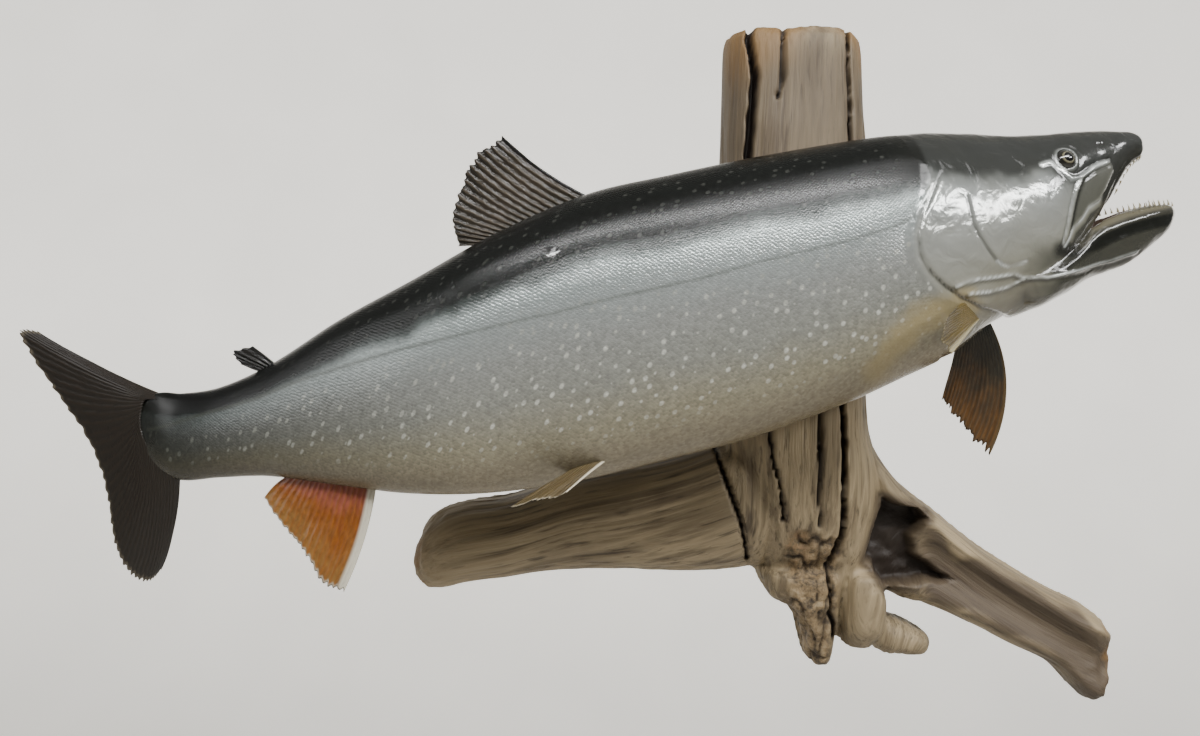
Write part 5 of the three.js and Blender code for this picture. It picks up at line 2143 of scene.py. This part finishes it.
@dataclass
class Studio:
    """Pale floor and wall, soft lights and the camera."""

    focal_pixels: float = 1100.0
    camera_mm: Point = (-134.75, -788.62, 68.07)
    right: Point = (0.99969, 0.00883, 0.02307)
    up: Point = (-0.02357, 0.06100, 0.99786)
    back: Point = (0.00740, -0.99810, 0.06119)
    floor_z: float = -1300.0
    floor_size: float = 6.0
    bend_from: float = 2.2
    bend: float = 0.8
    paper: Tones = ((0.3, "#dbd8d1"), (0.7, "#e0ddd6"))
    sky: str = "#dfdedb"
    lamps: tuple[Lamp, ...] = (
        Lamp("roof_light", (-100, -1370, 1350), (-60, -95, 60), (2.2, 0.13), 58),
        Lamp("head_light", (1436, -988, 900), (100, -120, 130), (1.2, 0.2), 22),
        Lamp("front_light", (600, -1350, 1700), (-100, -80, 40), (1.4, 0.9), 27),
        Lamp("side_light", (-1500, -900, 550), (-150, -80, 20), (0.8, 0.8), 8),
    )

    def build(self) -> None:
        """Sets the stage."""
        self.floor()
        self.camera()
        for lamp in self.lamps:
            lamp.build()
        self.world()

    def world(self) -> None:
        """A dim, even sky that is brighter overhead and underfoot than at the horizon."""
        world = bpy.data.worlds.new("studio")
        world.use_nodes = True
        tree = world.node_tree
        tree.nodes["Background"].inputs[0].default_value = linear(self.sky)
        level = add(tree, "SeparateXYZ", {0: add(tree, "TexCoord", out="Generated")}, out="Z")
        level = add(tree, "Math", {0: level}, operation="ABSOLUTE")
        glow = add(tree, "MapRange", {0: level, 1: 0.05, 2: 0.55, 3: 0.12, 4: 0.4})
        tree.links.new(glow, tree.nodes["Background"].inputs[1])
        bpy.context.scene.world = world

    def floor(self) -> None:
        """A pale floor that curves up behind, far from the mount."""
        build = bmesh.new()
        bmesh.ops.create_grid(build, x_segments=4, y_segments=24, size=self.floor_size)
        for vert in build.verts:
            rise = max(0.0, vert.co.y - self.bend_from)
            vert.co.z = self.floor_z * MM + rise * rise * self.bend
        mesh = new_mesh("studio_floor", build)
        mesh.shade_smooth()
        floor = new_object("studio_floor", mesh)
        material, tree = new_tree("matt_studio_paper")
        place = add(tree, "TexCoord", out="Object")
        fibre = add(tree, "TexNoise", {"Vector": place, "Scale": 3.0, "Detail": 3.0})
        tone = add(tree, "ValToRGB", {0: fibre}, stops=self.paper)
        depth = add(tree, "SeparateXYZ", {0: place}, out="Y")
        glow = add(tree, "MapRange", {0: depth, 1: 1.6, 2: 3.4, 4: 1.6})
        high = add(tree, "MapRange", {0: depth, 1: 4.15, 2: 4.6, 3: 1.0, 4: 0.08})
        glow = add(tree, "Math", {0: glow, 1: high}, operation="MULTIPLY")
        shader = add(
            tree, "BsdfPrincipled",
            {"Base Color": tone, "Roughness": 0.9, "Emission Color": tone, "Emission Strength": glow},
        )
        add(tree, "OutputMaterial", {"Surface": shader})
        mesh.materials.append(material)

    def camera(self) -> None:
        """The camera, placed and turned as the view asks."""
        data = bpy.data.cameras.new("camera")
        data.sensor_width = SENSOR_WIDTH
        data.lens = self.focal_pixels * SENSOR_WIDTH / IMAGE_WIDTH
        data.clip_end = 50
        camera = new_object("camera", data)
        turn = Matrix((self.right, self.up, self.back)).transposed().to_4x4()
        camera.matrix_world = Matrix.Translation(Vector(self.camera_mm) * MM) @ turn
        bpy.context.scene.camera = camera


# ---------- All together ----------

PELVIC_PLANE = 117.5


def across_fish(points: Sequence[Point], side: Side) -> tuple[Point, ...]:
    """Puts a near fin's points on one side of the fish.

    Args:
        points: X, the distance from the wall, and Z.
        side: NEAR leaves them, FAR mirrors them.

    Returns:
        The points.
    """
    return tuple((x, PELVIC_PLANE + side.value * (out - PELVIC_PLANE), z) for x, out, z in points)


FINS = (
    Fin(
        "dorsal_fin",
        ((-147, 118, 130), (-168, 118, 121), (-184, 118.5, 113), (-198, 119, 106), (-209, 119, 100)),
        ((-203, 118, 167), (-219, 118, 156), (-227, 118.5, 138), (-232, 119, 116), (-228, 119, 99)),
        4.5, 1.0, (-3, 0), 17,
        FinMembrane(
            "dried_dorsal_fin", "#232019", "#2e2820", "#1c1914", "#4c4337", "#131110", 0.03, 0.3, 0.6, 0.24
        ),
        "fin_dark", seed=1, ragged=0.07,
    ),
    Fin(
        "adipose_fin",
        ((-340, 104, 22), (-344, 104, 19.5), (-348, 104, 17)),
        ((-358, 103, 35.5), (-372, 101, 31), (-366, 102, 23)),
        4.0, 2.0, (0, 0), 5,
        FinMembrane(
            "dried_adipose_fin", "#1c1b19", "#131210", "#0f0e0d", "#1d1b19", "#0d0c0b", 0.02, 0.2, 0.6, 0.3
        ),
        "fin_dark", ragged=0.1, notch=0.3, across=80, along=28, wave=0.8, ridge=0.5, seed=2,
    ),
    Fin(
        "tail_fin",
        (
            (-416, 85, -1), (-426, 83, -1.5), (-433, 81, -3), (-436, 80, -12), (-436, 80, -20),
            (-433, 81, -28), (-428, 82, -37), (-420, 84, -45), (-410, 86, -50),
        ),
        (
            (-522, 48, 40), (-537, 45, 39), (-513, 51, 5), (-484, 58, -31), (-470, 60, -66),
            (-466, 57, -102), (-457, 55, -125), (-445, 55, -131), (-435, 56, -122),
        ),
        8.0, 1.2, (-3, -5), 38,
        FinMembrane(
            "dried_tail_fin", "#160f06", "#120b03", "#120c04", "#1e1409", "#6a6150", 0.0, 0.55, 0.2, 0.5
        ),
        "fin_dark", across=420, along=56, seed=3, wave=0.8, ridge=0.2, ragged=0.035,
    ),
    Fin(
        "anal_fin",
        ((-276, 117, -49), (-290, 115, -48), (-305, 113, -46), (-318, 111, -45), (-330, 109, -44)),
        ((-296, 119, -118), (-309, 119, -111), (-321, 116, -93), (-334, 113, -79), (-349, 108, -61)),
        4.5, 1.0, (-3, 2), 17,
        FinMembrane(
            "dried_anal_fin", "#7a4237", "#6b3b14", "#6f5029", "#77481d", "#b3ad9c", 0.1, 0.7, 0.35, 0.28
        ),
        "fin_orange", seed=4, wave=0.7,
    ),
    *(
        Fin(
            "pelvic_fin_" + end,
            across_fish(((-124, 131, -19), (-131, 132, -22), (-139, 132, -25), (-146, 132, -28)), side),
            across_fish(((-158, 171, -42), (-170, 183, -44), (-182, 182, -47), (-190, 174, -51)), side),
            3.5, 1.0, (0, 0), 12,
            FinMembrane(name, "#52472f", "#473c27", "#463a23", "#5f533b", "#b9b09a", 0.09, 0.4, 0.3, 0.35),
            "fin_cream", seed=seed,
        )
        for side, end, name, seed in (
            (Side.NEAR, "right", "dried_pelvic_fin", 5), (Side.FAR, "left", "dried_far_pelvic_fin", 6),
        )
    ),
    Fin(
        "pectoral_fin_right",
        ((88, 120, 61), (84, 124, 64), (80, 127, 67.5), (76, 129, 72)),
        ((46, 205, 43), (43.5, 199, 51), (49, 184, 59.5), (60, 162, 68)),
        5.0, 1.2, (0, 0), 15,
        FinMembrane(
            "dried_pectoral_fin", "#574926", "#54461f", "#3a2f18", "#62542f", "#8f8460", 0.13, 0.3, 0.4, 0.35
        ),
        "fin_olive", seed=7, ragged=0.08,
    ),
    Fin(
        "pectoral_fin_left",
        ((108, 70, 68), (104, 69, 66.5), (100, 68, 64.5), (96, 67, 62.5)),
        ((122, 50, -32), (108, 52, -20), (96, 54, -6), (88, 56, 5)),
        5.0, 1.2, (-14, 0), 15,
        FinMembrane(
            "dried_far_pectoral_fin", "#24241e", "#2c261b", "#573b1c", "#383226", "#4f3f26",
            0.05, 0.4, 0.3, 0.4,
        ),
        "fin_olive", seed=8, ragged=0.07,
    ),
)


def main() -> None:
    """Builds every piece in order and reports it."""
    logging.basicConfig(level=logging.INFO, format="%(name)s %(message)s")
    Studio().build()
    Skin().build()
    ScaleCoat().build()
    for fin in FINS:
        fin.build()
    for side in Side:
        Eye(side).build()
    Mouth().build()
    Driftwood().build()


if __name__ == "__main__":
    main()
